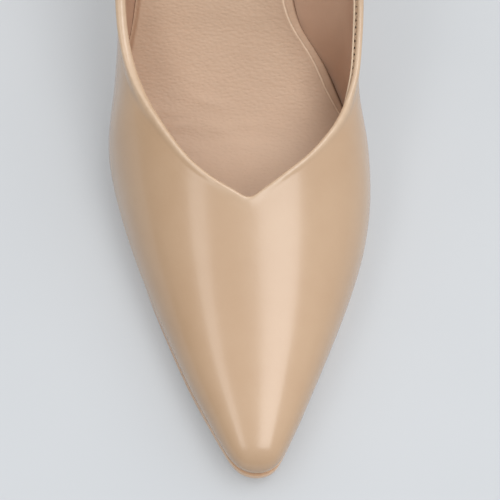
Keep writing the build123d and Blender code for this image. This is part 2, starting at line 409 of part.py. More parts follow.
wl, wm = waist_pts(_wt, True, 0.55)[::-1], waist_pts(_wt, False, 0.55)
pl = [Vector(float(x), float(y), -5) for x, y in np.concatenate([wl, lat, sole_pts([1.0], 1.0), med, wm])]
fo = Face(Wire([Edge.make_spline(pl), Edge.make_line(pl[-1], pl[0])]))
sole = one(Solid.extrude(fo, Vector(0, 0, 120)) & sole_band)
sole = one(sole - Solid.make_box(120, 40, 200, Plane(origin=(-60, T_BREAST, -20))))
parts["outsole"] = sole

# heel -------------------------------------------------------------------------------------------------
# rings: front t, z, back t, z, half width, centre x, corner squareness of the breast
RINGS = [(193.2, 76.5, 240.3, 93.0, 23.2, -1.6), (195.5, 69.3, 240.3, 85.4, 22.7, -1.6), (201.6, 59.6, 237.6, 73.5, 18.8, -1.5), (207.0, 49.0, 233.0, 60.0, 13.6, -1.3),
         (210.4, 38.5, 229.0, 46.2, 9.7, -1.1), (212.3, 28.0, 226.6, 33.2, 7.5, -1.0), (213.3, 18.0, 225.2, 20.6, 6.2, -0.9), (213.7, 10.6, 224.5, 11.4, 5.4, -0.9), (213.8, HEEL_TIP_Z, 224.2, HEEL_TIP_Z, 5.15, -0.9)]
HALF = [(0.075, 0.0), (0.068, 0.28), (0.045, 0.54), (0.012, 0.75), (0.0, 0.86), (0.028, 0.945), (0.10, 0.985), (0.22, 1.0), (0.38, 1.0), (0.54, 0.965), (0.68, 0.885), (0.80, 0.76), (0.895, 0.59), (0.96, 0.385), (0.99, 0.19), (1.0, 0.0)]
LOOP = HALF+[(a, -b) for a, b in HALF[-2:0:-1]]
def ring(row, d):
    tfr, zf, tb, zb, hw, xc = row; L = tb-tfr; k0 = d/L
    P = []
    for a, b in LOOP:
        aa = k0+a*(1-2*k0); P.append(Vector(xc+b*(hw-d), tfr+aa*L, zf+aa*(zb-zf)))
    return Wire([Edge.make_spline(P, periodic=True)])
below = band(lambda t: 0*t-20.0, lambda t: ZB(t)-0.03, 180.0, 260.0)
def heel_body(d):
    return one(Solid.make_loft([ring(r, d) for r in RINGS], False) & below)
outer = heel_body(0.0); inner = heel_body(HEEL_WRAP); core = heel_body(HEEL_WRAP+0.05)
# the last few millimetres of the loft end in a flat face for the top piece
parts["heel_cover"] = one(outer-inner)
parts["heel_block"] = core
HX, HT = -0.9, 218.9             # axis of the heel tip
def vcyl(x, t, z0, z1, r): return Solid.make_cylinder(r, z1-z0, Plane(origin=(x, t, z0)))
cut("heel_block", vcyl(HX, HT, 0, 60.2, 2.06))
parts["heel_dowel"] = one(vcyl(HX, HT, HEEL_TIP_Z+0.02, 60.0, 2.0)-vcyl(HX, HT, 0, 24.0, 1.32))
tp = ring((213.2, HEEL_TIP_Z-0.05, 224.6, HEEL_TIP_Z-0.05, 5.5, HX), 0.0)
top = Solid.extrude(Face(tp), Vector(0, 0, -(HEEL_TIP_Z-0.05)))
try:
    low = [e for e in top.edges() if abs(e.center().Z) < 0.01]; top = one(top.fillet(0.5, low))
except Exception as ex: print("top piece fillet", ex)
parts["top_piece"] = one(top-vcyl(HX, HT, 1.8, 20, 1.30))
parts["top_piece_pin"] = vcyl(HX, HT, 1.85, 22.0, 1.27)

# fasteners --------------------------------------------------------------------------------------------
parts["shank_steel"] = shank
for name, t in (("shank_rivet_front", 140.0), ("shank_rivet_rear", 197.0)):
    body = peg(SH_X, t, 0.10, HST-0.1, 1.3) + peg(SH_X, t, 0.10, 0.56, 2.4) + peg(SH_X, t, HST-0.75, HST-0.1, 2.6)
    parts[name] = one(body)
    for q in ("shank_steel", "insole_board"): cut(q, peg(SH_X, t, -2, 9, 1.36))
    cut("shank_board", peg(SH_X, t, -2, 9, 1.36)); cut("shank_board", peg(SH_X, t, HST-0.82, 12, 2.68))
SCX, SCT = SH_X, 214.0
screw = peg(SCX, SCT, -16.0, HST-1.0, 1.9) + peg(SCX, SCT, HST-1.05, HST-0.1, 3.9)
screw = screw - Solid.make_box(5.0, 0.9, 1.2, Plane(origin=Vector(SCX-2.5, SCT-0.45, float(ZB(SCT))+HST-0.62)))
parts["heel_screw"] = one(screw)
for q in ("shank_steel", "insole_board", "heel_block"): cut(q, peg(SCX, SCT, -16.2, 9, 1.96))
cut("shank_board", peg(SCX, SCT, -2, 9, 1.96)); cut("shank_board", peg(SCX, SCT, HST-1.12, 12, 3.98))
for i, (x, t) in enumerate(((-13.2, 204.5), (8.0, 204.5), (-10.6, 226.0), (7.2, 226.0)), 1):
    nail = peg(x, t, -13.0, HST-0.5, 0.85) + peg(x, t, HST-0.6, HST-0.1, 2.0)
    parts["heel_nail_%d" % i] = one(nail)
    for q in ("insole_board", "heel_block"): cut(q, peg(x, t, -13.2, 9, 0.91))
    cut("shank_board", peg(x, t, -2, 9, 0.91)); cut("shank_board", peg(x, t, HST-0.68, 12, 2.08))

# move into the row frame and write ------------------------------------------------------------------------
bbs = []
for name, s in parts.items():
    s = s.moved(Location((-X0, -T0, 0))); s.label = name
    b = s.bounding_box(); bbs.append((b.min, b.max))
    export_step(s, "parts/%s.step" % name)
lo = [min(getattr(b[0], k) for b in bbs) for k in ("X", "Y", "Z")]; hi = [max(getattr(b[1], k) for b in bbs) for k in ("X", "Y", "Z")]
print("pieces", len(parts), "from", [round(v, 3) for v in lo], "to", [round(v, 3) for v in hi])
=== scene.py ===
"""High heel pump, right foot: looks.  The skin's geometry functions are the CAD source's own, in shoe millimetres
(x, t, z); everything shown is moved into the row frame in metres with M()."""
import bpy, bmesh
import numpy as np
from math import pi, sqrt, sin, cos, atan, atan2, degrees, radians
from mathutils import Vector, Matrix


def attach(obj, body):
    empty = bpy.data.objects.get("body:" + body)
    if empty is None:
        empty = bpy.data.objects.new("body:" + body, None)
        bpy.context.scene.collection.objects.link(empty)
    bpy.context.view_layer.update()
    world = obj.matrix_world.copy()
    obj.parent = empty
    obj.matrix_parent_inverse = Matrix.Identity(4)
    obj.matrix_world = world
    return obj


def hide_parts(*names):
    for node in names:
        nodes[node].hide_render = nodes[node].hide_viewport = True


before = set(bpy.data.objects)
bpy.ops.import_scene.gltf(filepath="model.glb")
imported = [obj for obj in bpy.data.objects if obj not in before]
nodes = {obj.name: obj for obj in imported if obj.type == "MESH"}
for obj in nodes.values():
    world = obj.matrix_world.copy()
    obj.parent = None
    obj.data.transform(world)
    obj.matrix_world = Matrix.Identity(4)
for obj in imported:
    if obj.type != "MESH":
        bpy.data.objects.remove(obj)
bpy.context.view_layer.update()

# driving dimensions ------------------------------------------------------------------------
X0, T0 = 0.941, 123.4755            # shoe coordinates of the row origin
T_UPPER = 1.0                   # outer leather
T_LINING = 0.6                  # lining leather
GAP = 0.06                      # glue line between layers
T_PUFF, T_COUNTER = 0.7, 1.0    # toe and heel stiffeners at their thickest
T_BOARD = 1.5                   # insole board
T_SHANKBOARD = 1.2              # second board, heel to joints
T_SOCK = 0.9                    # leather sock
SOCK_LIFT = 5.22                # underside of the sock above the outsole, forepart
SEAM_LAT, SEAM_MED = 152.0, 150.0   # feather positions of the side seams
T_BREAST = 195.3                # rear end of the outsole, front of the heel
HEEL_TIP_Z = 6.4                # height of the top piece
HEEL_WRAP = 0.8                 # leather round the heel


# surface functions, the same as in the CAD source
def nat_spline(xs, ys):
    """natural cubic spline, straight beyond its ends; ys may be (n,) or (n, k)"""
    x = np.asarray(xs, float); y = np.asarray(ys, float)
    one = y.ndim == 1
    if one: y = y[:, None]
    n = len(x); h = np.diff(x)
    A = np.zeros((n, n)); B = np.zeros((n, y.shape[1])); A[0, 0] = A[-1, -1] = 1.0
    for i in range(1, n - 1):
        A[i, i-1] = h[i-1]; A[i, i] = 2*(h[i-1]+h[i]); A[i, i+1] = h[i]
        B[i] = 6*((y[i+1]-y[i])/h[i] - (y[i]-y[i-1])/h[i-1])
    M = np.linalg.solve(A, B)
    s0 = (y[1]-y[0])/h[0] - h[0]*(2*M[0]+M[1])/6
    s1 = (y[-1]-y[-2])/h[-1] + h[-1]*(M[-2]+2*M[-1])/6
    def f(q):
        q = np.asarray(q, float); s = q.shape; q = q.ravel()
        d = np.clip(q, x[0], x[-1]); i = np.clip(np.searchsorted(x, d, side='right') - 1, 0, n-2)
        a = (x[i+1]-d)[:, None]; b = (d-x[i])[:, None]; hh = h[i][:, None]
        r = (M[i]*a**3 + M[i+1]*b**3)/(6*hh) + (y[i]/hh - M[i]*hh/6)*a + (y[i+1]/hh - M[i+1]*hh/6)*b
        r = r + np.minimum(q-x[0], 0)[:, None]*s0 + np.maximum(q-x[-1], 0)[:, None]*s1
        return r[:, 0].reshape(s) if one else r.reshape(s + (y.shape[1],))
    return f

def loop_spline(pts):
    """closed smooth curve through pts, chord length parameter; returns (function, period, knot values)"""
    P = np.asarray(pts, float)
    c = np.r_[0, np.cumsum(np.linalg.norm(np.diff(np.r_[P, P[:1]], axis=0), axis=1))]
    k = 6; X = np.r_[c[:-1][-k:]-c[-1], c[:-1], c[:-1][:k]+c[-1]]; Y = np.r_[P[-k:], P, P[:k]]
    g = nat_spline(X, Y)
    return (lambda q: g(np.mod(np.asarray(q, float), c[-1]))), c[-1], c[:-1]

def NZ(t, e=0.25):
    """length of the seat line's normal per unit of height: heights above ZB are measured square to it"""
    return np.sqrt(1+((ZB(np.asarray(t, float)+e)-ZB(np.asarray(t, float)-e))/(2*e))**2)

def smooth(a, b, x):
    s = np.clip((np.asarray(x, float)-a)/(b-a), 0, 1)
    return s*s*s*(s*(6*s-15)+10)

# profiles along the shoe (t = 0 at the sole tip) ----------------------------------------
# ZB: top of the outsole = underside of the lasted upper
ZB = nat_spline([-6, 0, 20, 45, 70, 94, 107, 122, 139, 156, 174, 194, 214, 229, 240, 252],
                [9.2, 8.3, 6.2, 4.3, 3.6, 3.6, 4.9, 10.9, 23.6, 39.6, 55.6, 69.0, 77.7, 82.3, 85.4, 88.6])
# ridge height and half widths of the forepart, against the root of the distance from the upper's tip
ST = np.array([1.0, 3, 6, 11, 21, 36, 51, 66, 76, 86, 96, 111, 131, 150])
_RZ = nat_spline(np.sqrt(ST-1), [11.6, 15.6, 17.8, 19.8, 22.6, 26.2, 30.6, 36.2, 40.6, 45.8, 51.2, 59.8, 73.0, 88])
WT = np.array([1.0, 2.0, 4, 8, 15, 26, 41, 56, 71, 86, 101, 116, 131, 151])
WL_T = [0, 4.2, 6.8, 9.6, 13.2, 18.5, 24.6, 30.1, 35.0, 39.1, 42.0, 42.6, 40.4, 37]
WM_T = [0, 4.1, 6.5, 9.0, 12.6, 17.6, 24.3, 30.6, 35.7, 38.5, 38.7, 37.1, 34.7, 31]
_wq = np.sqrt(WT-1)
_HW = nat_spline(np.r_[-_wq[::-1], _wq[1:]], np.r_[-np.array(WL_T)[::-1], np.array(WM_T)[1:]])   # signed
XR = nat_spline([1, 41, 76, 130, 150], [5.2, 4.3, 3.1, 2.4, 2.2])
def _q(t): return np.sqrt(np.maximum(np.asarray(t, float)-1.0, 0))
def ZR(t): return _RZ(_q(t))
def HB(t): return 3.5+5.0*(1-np.exp(-np.maximum(np.asarray(t, float)-1, 0)/30.0))
K1, K2 = 0.04, 0.045
def front(t, th):
    """arch section of the forepart at t: th = 0 on the lateral widest line, pi on the medial one"""
    t = np.asarray(t, float); q = _q(t)
    xl = XR(t)+_HW(-q); xm = XR(t)+_HW(q); xc = (xl+xm)/2; a = (xm-xl)/2; sk = XR(t)-xc
    zc = ZB(t)+HB(t); h = ZR(t)-zc
    c = np.cos(th); s = np.sin(th); g = 2*np.sin(2*th)
    return np.stack([xc-a*(c+K1*g*s)+sk*s**3, t+0*c, zc+h*(s+K2*g*c)], -1)
def widest_q(q):
    t = 1+q*q
    return np.stack([XR(t)+_HW(q), t, ZB(t)+HB(t)], -1)

# feather line: inset from the widest line in front, explicit behind ----------------------
INSET = nat_spline([1, 4, 10, 26, 56, 86, 112], [2.7, 2.5, 2.4, 2.7, 3.4, 4.3, 4.9])
def inset_pts(ts, sgn, extra=0.0):
    q = sgn*_q(np.asarray(ts, float)); e = 1e-3
    P = widest_q(q); d = widest_q(q+e)-widest_q(q-e)
    n = np.stack([-d[:, 1], d[:, 0]], -1); n /= np.linalg.norm(n, axis=1, keepdims=True)   # toward the heel side = inward
    return P[:, :2] + n*(INSET(P[:, 1])+extra)[:, None]
_ft = [2.0, 4.5, 9, 16, 27, 42, 57, 72, 86, 98]
FR_LAT = [(-35.9, 111), (-34.6, 123), (-31.6, 136), (-28.5, 149), (-26.2, 163), (-24.9, 178), (-24.4, 193), (-24.0, 207), (-22.2, 220), (-18.2, 230), (-12.0, 237), (-5.2, 240.2)]
FR_MED = [(35.0, 110), (30.9, 120.5), (25.0, 130.5), (19.4, 140), (15.4, 150), (13.9, 161), (14.9, 174), (17.5, 188), (20.2, 202), (20.8, 216), (18.0, 227.5), (11.8, 236), (4.0, 240.2)]
HEEL_F = (-0.6, 240.7)
_tip = inset_pts([1.0], 1.0)[0]
_FP = [HEEL_F] + FR_LAT[::-1] + [tuple(p) for p in inset_pts(_ft, -1.0)[::-1]] + [tuple(_tip)] + [tuple(p) for p in inset_pts(_ft, 1.0)] + FR_MED
_Fc, PER, _fk = loop_spline(_FP)
_ktoe = len(FR_LAT)+1+len(_ft); S_TOE = _fk[_ktoe]
def s_of_u(u): return PER*u + (S_TOE-PER/2)*np.sin(pi*np.asarray(u, float))**2
_ug = np.linspace(0, 1, 6001); _sg = s_of_u(_ug)
def u_at_s(s): return float(np.interp(s, _sg, _ug))
def feather(u):
    u = np.mod(np.asarray(u, float), 1.0); P = _Fc(s_of_u(u))
    return np.concatenate([P, ZB(P[..., 1])[..., None]], -1)
def plan_n(u, e=1e-4):
    d = feather(np.asarray(u, float)+e)-feather(np.asarray(u, float)-e)
    n = np.stack([d[..., 1], -d[..., 0], 0*d[..., 0]], -1)
    return n/np.linalg.norm(n, axis=-1, keepdims=True)
_fd = feather(_ug)[:, 1]
def u_of_t(t, lat=True):
    m = _ug <= 0.5
    if lat: return float(np.interp(t, np.maximum.accumulate(_fd[m][::-1]), _ug[m][::-1]))
    return float(np.interp(t, np.maximum.accumulate(_fd[~m]), _ug[~m]))

# topline ---------------------------------------------------------------------------------
def _arch_z(x, t):
    th = np.linspace(0.02, pi-0.02, 400); P = front(np.full_like(th, t), th)
    return float(np.interp(x, P[:, 0], P[:, 2]))
T_LAT = [(3.15, 77.25, None), (-1.6, 78.8, None), (-6.2, 80.9, None), (-10.5, 83.5, None), (-14.3, 86.6, None), (-19.5, 92.4, None), (-23.9, 98.5, None), (-28.0, 104.9, None), (-31.9, 112.4, 48.7),
         (-34.5, 120.5, 50.1), (-36.1, 130, 53.9), (-36.5, 141, 61.5), (-35.6, 154, 73.0), (-33.4, 169, 88.0), (-30.6, 185, 103.5), (-28.0, 200, 116.5), (-25.4, 213, 126.5), (-21.2, 225, 133.4), (-13.8, 233.9, 137.3), (-6.0, 238.4, 138.9)]
T_MED = [(6.7, 78.95, None), (10.0, 80.85, None), (14.3, 83.6, None), (18.7, 86.7, None), (25.0, 92.7, None), (29.8, 99.2, None), (32.9, 105.8, None), (35.4, 113.0, 47.4),
         (36.7, 121.5, 49.5), (37.3, 131, 54.1), (36.7, 143, 63.4), (35.1, 157, 76.5), (32.5, 172, 91.6), (29.6, 187, 105.8), (26.8, 201, 117.8), (24.0, 213.5, 127.0), (19.6, 225, 133.4), (12.2, 233.9, 137.3), (4.8, 238.4, 138.9)]
HEEL_T = (-0.6, 239.2, 139.2)
_TP = [HEEL_T] + T_LAT[::-1] + T_MED
_TP = [(x, t, _arch_z(x, t) if z is None else z) for x, t, z in _TP]
_Tc, TPER, _tk = loop_spline(_TP)
S_V = _tk[len(T_LAT)]
_tg = np.linspace(0, TPER, 6001); _Tg = _Tc(_tg)
def _sig_at_t(t, lat):
    m = (_tg <= S_V) if lat else (_tg >= S_V)
    g = _tg[m]; y = _Tg[m, 1]
    if lat: g = g[::-1]; y = y[::-1]
    return float(np.interp(t, np.maximum.accumulate(y), g))
_uk, _sk = [0.5], [S_V]
for _t, _a in ((14, 4.0), (30, 9.5), (50, 17.5), (70, 27.0), (88, 36.5)):
    _uk = [u_of_t(_t, True)]+_uk+[u_of_t(_t, False)]; _sk = [S_V-_a]+_sk+[S_V+_a]
for _t, _a in ((112, 108.0), (136, 129.5), (160, 153.0), (186, 181.0), (210, 207.0), (228, 226.0)):
    _uk = [u_of_t(_t, True)]+_uk+[u_of_t(_t, False)]; _sk = [_sig_at_t(_a, True)]+_sk+[_sig_at_t(_a, False)]
_uk = [0.0]+_uk+[1.0]; _sk = [0.0]+_sk+[TPER]
_sig = nat_spline(np.r_[np.array(_uk[-5:-1])-1, _uk, np.array(_uk[1:5])+1], np.r_[np.array(_sk[-5:-1])-TPER, _sk, np.array(_sk[1:5])+TPER])
def topline(u): return _Tc(_sig(np.mod(np.asarray(u, float), 1.0)))

_uq, _qq = [0.5], [0.0]
for _t in (2.0, 4.5, 9, 16, 27, 42, 57, 72, 86, 98):
    for _s in (-1, 1):
        _p = inset_pts([_t], float(_s))[0]; _g = _Fc(_sg); _m = (_ug < 0.5) if _s < 0 else (_ug > 0.5)
        _uu = float(_ug[_m][np.argmin(np.hypot(_g[_m, 0]-_p[0], _g[_m, 1]-_p[1]))]); _v = _s*float(_q(_t))
        if _s < 0: _uq = [_uu]+_uq; _qq = [_v]+_qq
        else: _uq.append(_uu); _qq.append(_v)
for _t in (113, 128, 143, 156):
    _uq = [u_of_t(_t, True)]+_uq+[u_of_t(_t, False)]; _qq = [-float(_q(_t))]+_qq+[float(_q(_t))]
_q_of_u = nat_spline(_uq, _qq)

# the outer skin of the upper: u round the shoe (0 heel, 0.5 toe, lateral half first), v feather to topline ----
R0 = 0.085
def _front_pt(u, r):
    """u (m,1), r (m,k)"""
    F = feather(u); W = widest_q(_q_of_u(np.mod(u, 1.0))); T = topline(u)
    rr = np.clip(r/R0, 0, 1)[..., None]; H = W-F; Hh = H.copy(); Hh[..., 2] = 0; Hz = H-Hh
    kb = 0.60
    B1 = F+Hh*kb; B2 = W-Hz*0.52
    roll = (1-rr)**3*F+3*(1-rr)**2*rr*B1+3*(1-rr)*rr*rr*B2+rr**3*W
    pw = 1.35+0.65*np.exp(-((np.mod(u, 1.0)-0.5)/0.06)**2)
    s = (np.clip((r-R0)/(1-R0), 0, 1)**pw)[..., None]
    C = W+s*(T-W); t = C[..., 1]; q = _q(t)
    xl = XR(t)+_HW(-q); xm = XR(t)+_HW(q); xc = (xl+xm)/2; a = np.maximum((xm-xl)/2, 1e-4)
    zc = ZB(t)+HB(t); h = np.maximum(ZR(t)-zc, 1e-4)
    th = np.arctan2(np.maximum((C[..., 2]-zc)/h, 0), -(C[..., 0]-xc)/a)
    P = front(t, th)
    # end on the topline exactly
    xlT = T[..., 1]; qT = _q(xlT); xl = XR(xlT)+_HW(-qT); xm = XR(xlT)+_HW(qT); zcT = ZB(xlT)+HB(xlT)
    thT = np.arctan2(np.maximum((T[..., 2]-zcT)/np.maximum(ZR(xlT)-zcT, 1e-4), 0), -(T[..., 0]-(xl+xm)/2)/((xm-xl)/2))
    P = P+(T-front(xlT, thT))*smooth(0, 1, s)
    return np.where((r < R0)[..., None], roll, P)

TUCK = (1.0, 0.45, (124, 145), (166, 205))   # how far the waist wall is drawn in: medial, lateral, where it comes and goes
def _rear_pt(u, r):
    F = feather(u); T = topline(u); nrm = plan_n(u); z = np.array([0, 0, 1.0])
    H = (T[..., 2]-F[..., 2])[..., None]; t = F[..., 1]
    heel = smooth(150, 215, t)[..., None]
    Dh = T-F; Dh = Dh*np.array([1, 1, 0.0]); out = (Dh*nrm).sum(-1)[..., None]; al = Dh-nrm*out
    k = (TUCK[0]*smooth(*TUCK[2], t)*(1-smooth(*TUCK[3], t))*(np.mod(u, 1.0) > 0.5)+TUCK[1]*smooth(*TUCK[2], t)*(1-smooth(*TUCK[3], t))*(np.mod(u, 1.0) <= 0.5))[..., None]
    c1 = (4.6+0.6*heel)*(1-0.80*k)
    b2 = (0.40*out+2.4+3.4*heel)*(1-0.66*k)
    P1 = F+nrm*c1; P2 = F+nrm*(b2+0.5*c1)+z*H*(0.15+0.06*heel)+al*0.15
    P3 = F+nrm*(0.78*out+2.8+3.2*heel-2.6*k)+z*H*0.60+al*0.6
    s = np.clip(r, 0, 1)[..., None]**1.15
    return (1-s)**4*F+4*(1-s)**3*s*P1+6*(1-s)**2*s*s*P2+4*(1-s)*s**3*P3+s**4*T

_rg = np.linspace(0, 1, 161)
def _arc_r(fn, u, V):
    """raw parameter that sits at the normalised arc length V (m,k) on each line"""
    P = fn(u, np.broadcast_to(_rg, (len(u), len(_rg))))
    L = np.concatenate([np.zeros((len(u), 1)), np.cumsum(np.linalg.norm(np.diff(P, axis=1), axis=2), 1)], 1)
    R = np.empty_like(V)
    for i in range(len(u)): R[i] = np.interp(V[i], L[i]/L[i, -1], _rg)
    return R, L[:, -1]

def line_len(u):
    u = np.atleast_1d(np.asarray(u, float))[:, None]; t = feather(u)[:, 0, 1]
    w = smooth(96, 140, t)
    A = _arc_r(_front_pt, u, np.zeros((len(u), 1)))[1]; B = _arc_r(_rear_pt, u, np.zeros((len(u), 1)))[1]
    return A*(1-w)+B*w

def skin(u, V):
    """u (m,), V (m,k): outer skin; v < 0 is the lasting margin turned in under the foot, in mm"""
    u = np.mod(np.asarray(u, float), 1.0)[:, None]; V = np.asarray(V, float)
    Vc = np.clip(V, 0, 1); t = feather(u)[..., 1]
    w = smooth(96, 140, t); wa = smooth(18, 60, t)
    P = np.zeros(V.shape+(3,)); fr = w[:, 0] < 1; rr = w[:, 0] > 0
    if fr.any():
        uf = u[fr]; Ra = _arc_r(_front_pt, uf, Vc[fr])[0]
        R = Vc[fr]*(1-wa[fr])+Ra*wa[fr]
        P[fr] += _front_pt(uf, R)*(1-w[fr])[..., None]
    if rr.any():
        ur = u[rr]; Rb = _arc_r(_rear_pt, ur, Vc[rr])[0]
        P[rr] += _rear_pt(ur, Rb)*w[rr][..., None]
    m = np.maximum(-V, 0)[..., None]*plan_n(u)
    Q = feather(u)-m; Q[..., 2] = ZB(Q[..., 1])
    return np.where((V < 0)[..., None], Q, P)

def skin_n(u, V, eu=5e-4, ev=2.5e-3):
    a = skin(u-eu, V); b = skin(u+eu, V)
    Vm = np.where(V < 0, V-0.05, np.clip(V-ev, 0, 1)); Vp = np.where(V < 0, np.minimum(V+0.05, -1e-9), np.clip(V+ev, 0, 1))
    c = skin(u, Vm); d = skin(u, Vp)
    n = np.cross(b-a, d-c); n /= np.linalg.norm(n, axis=-1, keepdims=True)
    return n

def layer(u, V, D):
    """points at depth D (mm, positive inward) below the outer skin"""
    return skin(u, V)-skin_n(u, V)*np.asarray(D, float)[..., None]

# stiffeners: thickness fields over the skin (u, v) ---------------------------------------------
def uc(u):                       # signed distance round the shoe from the heel back
    u = np.mod(np.asarray(u, float), 1.0)
    return np.where(u > 0.5, u-1.0, u)
def puff_top(u): return 0.10+0.40*np.sqrt(np.maximum(1-((np.mod(u, 1.0)-0.5)/0.098)**2, 0))
def f_puff(u, v):
    uu = np.mod(np.asarray(u, float), 1.0)[:, None]; e = np.abs(uu-0.5)
    return T_PUFF*(1-smooth(puff_top(uu)-0.05, puff_top(uu)+0.16, v))*(1-smooth(0.075, 0.118, e))*smooth(-0.01, 0.10, v)
def f_counter(u, v):
    a = np.abs(uc(u))[:, None]
    return T_COUNTER*(1-smooth(0.72, 0.90, v))*(1-smooth(0.105, 0.145, a))*smooth(-0.01, 0.08, v)
def f_tape(v): return 0.30*smooth(0.80, 0.90, v)
def stiff(u, v): return np.where(v < 0, 0.0, f_puff(u, v)+f_counter(u, v)+f_tape(v))

def margin(u):                   # width of the lasting margin turned under
    t = feather(u)[..., 1]
    return 2.0+6.5*smooth(4, 40, t)

UL, UM = u_of_t(SEAM_LAT, True), u_of_t(SEAM_MED, False)

# =============================================================================================
# mesh helpers
# =============================================================================================
def M(P):
    P = np.asarray(P, float)
    return (P-np.array([X0, T0, 0.0]))/1000.0

def add_mesh(name, verts, faces, mat, smooth_shade=True):
    me = bpy.data.meshes.new(name); me.from_pydata([tuple(v) for v in verts], [], [tuple(f) for f in faces]); me.validate(); me.update()
    o = bpy.data.objects.new(name, me); bpy.context.scene.collection.objects.link(o)
    if mat is not None: me.materials.append(mat)
    if smooth_shade: me.polygons.foreach_set("use_smooth", [True]*len(me.polygons))
    return o

def fix_normals(o):
    bm = bmesh.new(); bm.from_mesh(o.data); bmesh.ops.recalc_face_normals(bm, faces=bm.faces); bm.to_mesh(o.data); bm.free(); o.data.update()

def tube_grid(P, close_u=False, cap=True):
    """P (m, n, 3): m stations of a closed n-point loop -> verts, faces; ends filled as a ladder between the loop's halves"""
    m, n = P.shape[:2]; idx = np.arange(m*n).reshape(m, n); F = []
    mm = m if close_u else m-1
    for i in range(mm):
        a = idx[i]; b = idx[(i+1) % m]
        for k in range(n):
            k2 = (k+1) % n; F.append((a[k], a[k2], b[k2], b[k]))
    if cap and not close_u:
        for row, flip in ((idx[0], False), (idx[-1], True)):
            h = n//2
            for k in range(h-1):
                q = (row[k], row[n-1-k], row[n-2-k], row[k+1])
                F.append(q[::-1] if flip else q)
    return P.reshape(-1, 3), F

def skin_frame(u, V, eu=5e-4):
    """points and normals, evaluated line by line"""
    return skin(u, V), skin_n(u, V, eu)

def put(o, *reps, slot=None):
    for r in reps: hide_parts(r)
    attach(o, "root"); return o

Q = 1.0

# =============================================================================================
# materials
# =============================================================================================
def srgb(r, g, b):
    f = lambda c: (c/255/12.92) if c/255 <= 0.04045 else ((c/255+0.055)/1.055)**2.4
    return (f(r), f(g), f(b), 1.0)

class NT:
    def __init__(s, name):
        s.m = bpy.data.materials.new(name); s.m.use_nodes = True; s.t = s.m.node_tree; s.t.nodes.clear()
        s.out = s.n("ShaderNodeOutputMaterial"); s.b = s.n("ShaderNodeBsdfPrincipled"); s.l(s.b.outputs[0], s.out.inputs[0])
        s.co = s.n("ShaderNodeTexCoord").outputs["Object"]
    def n(s, kind, **kw):
        x = s.t.nodes.new(kind)
        for k, v in kw.items(): setattr(x, k, v)
        return x
    def l(s, a, b): s.t.links.new(a, b)
    def noise(s, scale, detail=3, rough=0.5, co=None, dist=0.0):
        x = s.n("ShaderNodeTexNoise"); x.inputs["Scale"].default_value = scale; x.inputs["Detail"].default_value = detail
        x.inputs["Roughness"].default_value = rough; x.inputs["Distortion"].default_value = dist; s.l(co or s.co, x.inputs["Vector"]); return x.outputs[0]
    def voro(s, scale, feature="F1", co=None, rand=1.0):
        x = s.n("ShaderNodeTexVoronoi", feature=feature); x.inputs["Scale"].default_value = scale; x.inputs["Randomness"].default_value = rand
        s.l(co or s.co, x.inputs["Vector"]); return x.outputs["Distance"]
    def math(s, op, a, b=None, c=None, clamp=False):
        x = s.n("ShaderNodeMath", operation=op, use_clamp=clamp)
        for i, v in enumerate((a, b, c)):
            if v is None: continue
            if isinstance(v, (int, float)): x.inputs[i].default_value = v
            else: s.l(v, x.inputs[i])
        return x.outputs[0]
    def ramp(s, x, stops, interp="LINEAR"):
        r = s.n("ShaderNodeValToRGB"); r.color_ramp.interpolation = interp
        while len(r.color_ramp.elements) > 1: r.color_ramp.elements.remove(r.color_ramp.elements[-1])
        for i, (p, c) in enumerate(stops):
            e = r.color_ramp.elements[0] if i == 0 else r.color_ramp.elements.new(p)
            e.position = p; e.color = c if len(c) == 4 else (*c, 1)
        s.l(x, r.inputs[0]); return r.outputs[0]
    def map(s, x, a, b, c, d):
        r = s.n("ShaderNodeMapRange"); r.inputs[1].default_value = a; r.inputs[2].default_value = b; r.inputs[3].default_value = c; r.inputs[4].default_value = d
        s.l(x, r.inputs[0]); return r.outputs[0]
    def mix(s, f, a, b, mode="MIX"):
        r = s.n("ShaderNodeMix", data_type="RGBA", blend_type=mode)
        for v, i in ((f, 0), (a, 6), (b, 7)):
            if isinstance(v, (int, float)): r.inputs[i].default_value = v
            elif isinstance(v, tuple): r.inputs[i].default_value = v
            else: s.l(v, r.inputs[i])
        return r.outputs[2]
    def bump(s, h, strength, dist, prev=None):
        r = s.n("ShaderNodeBump"); r.inputs["Strength"].default_value = strength; r.inputs["Distance"].default_value = dist
        s.l(h, r.inputs["Height"])
        if prev is not None: s.l(prev, r.inputs["Normal"])
        return r.outputs[0]
    def set(s, **kw):
        for k, v in kw.items():
            i = s.b.inputs[k.replace("_", " ")]
            if isinstance(v, (int, float, tuple)): i.default_value = v
            else: s.l(v, i)
        return s

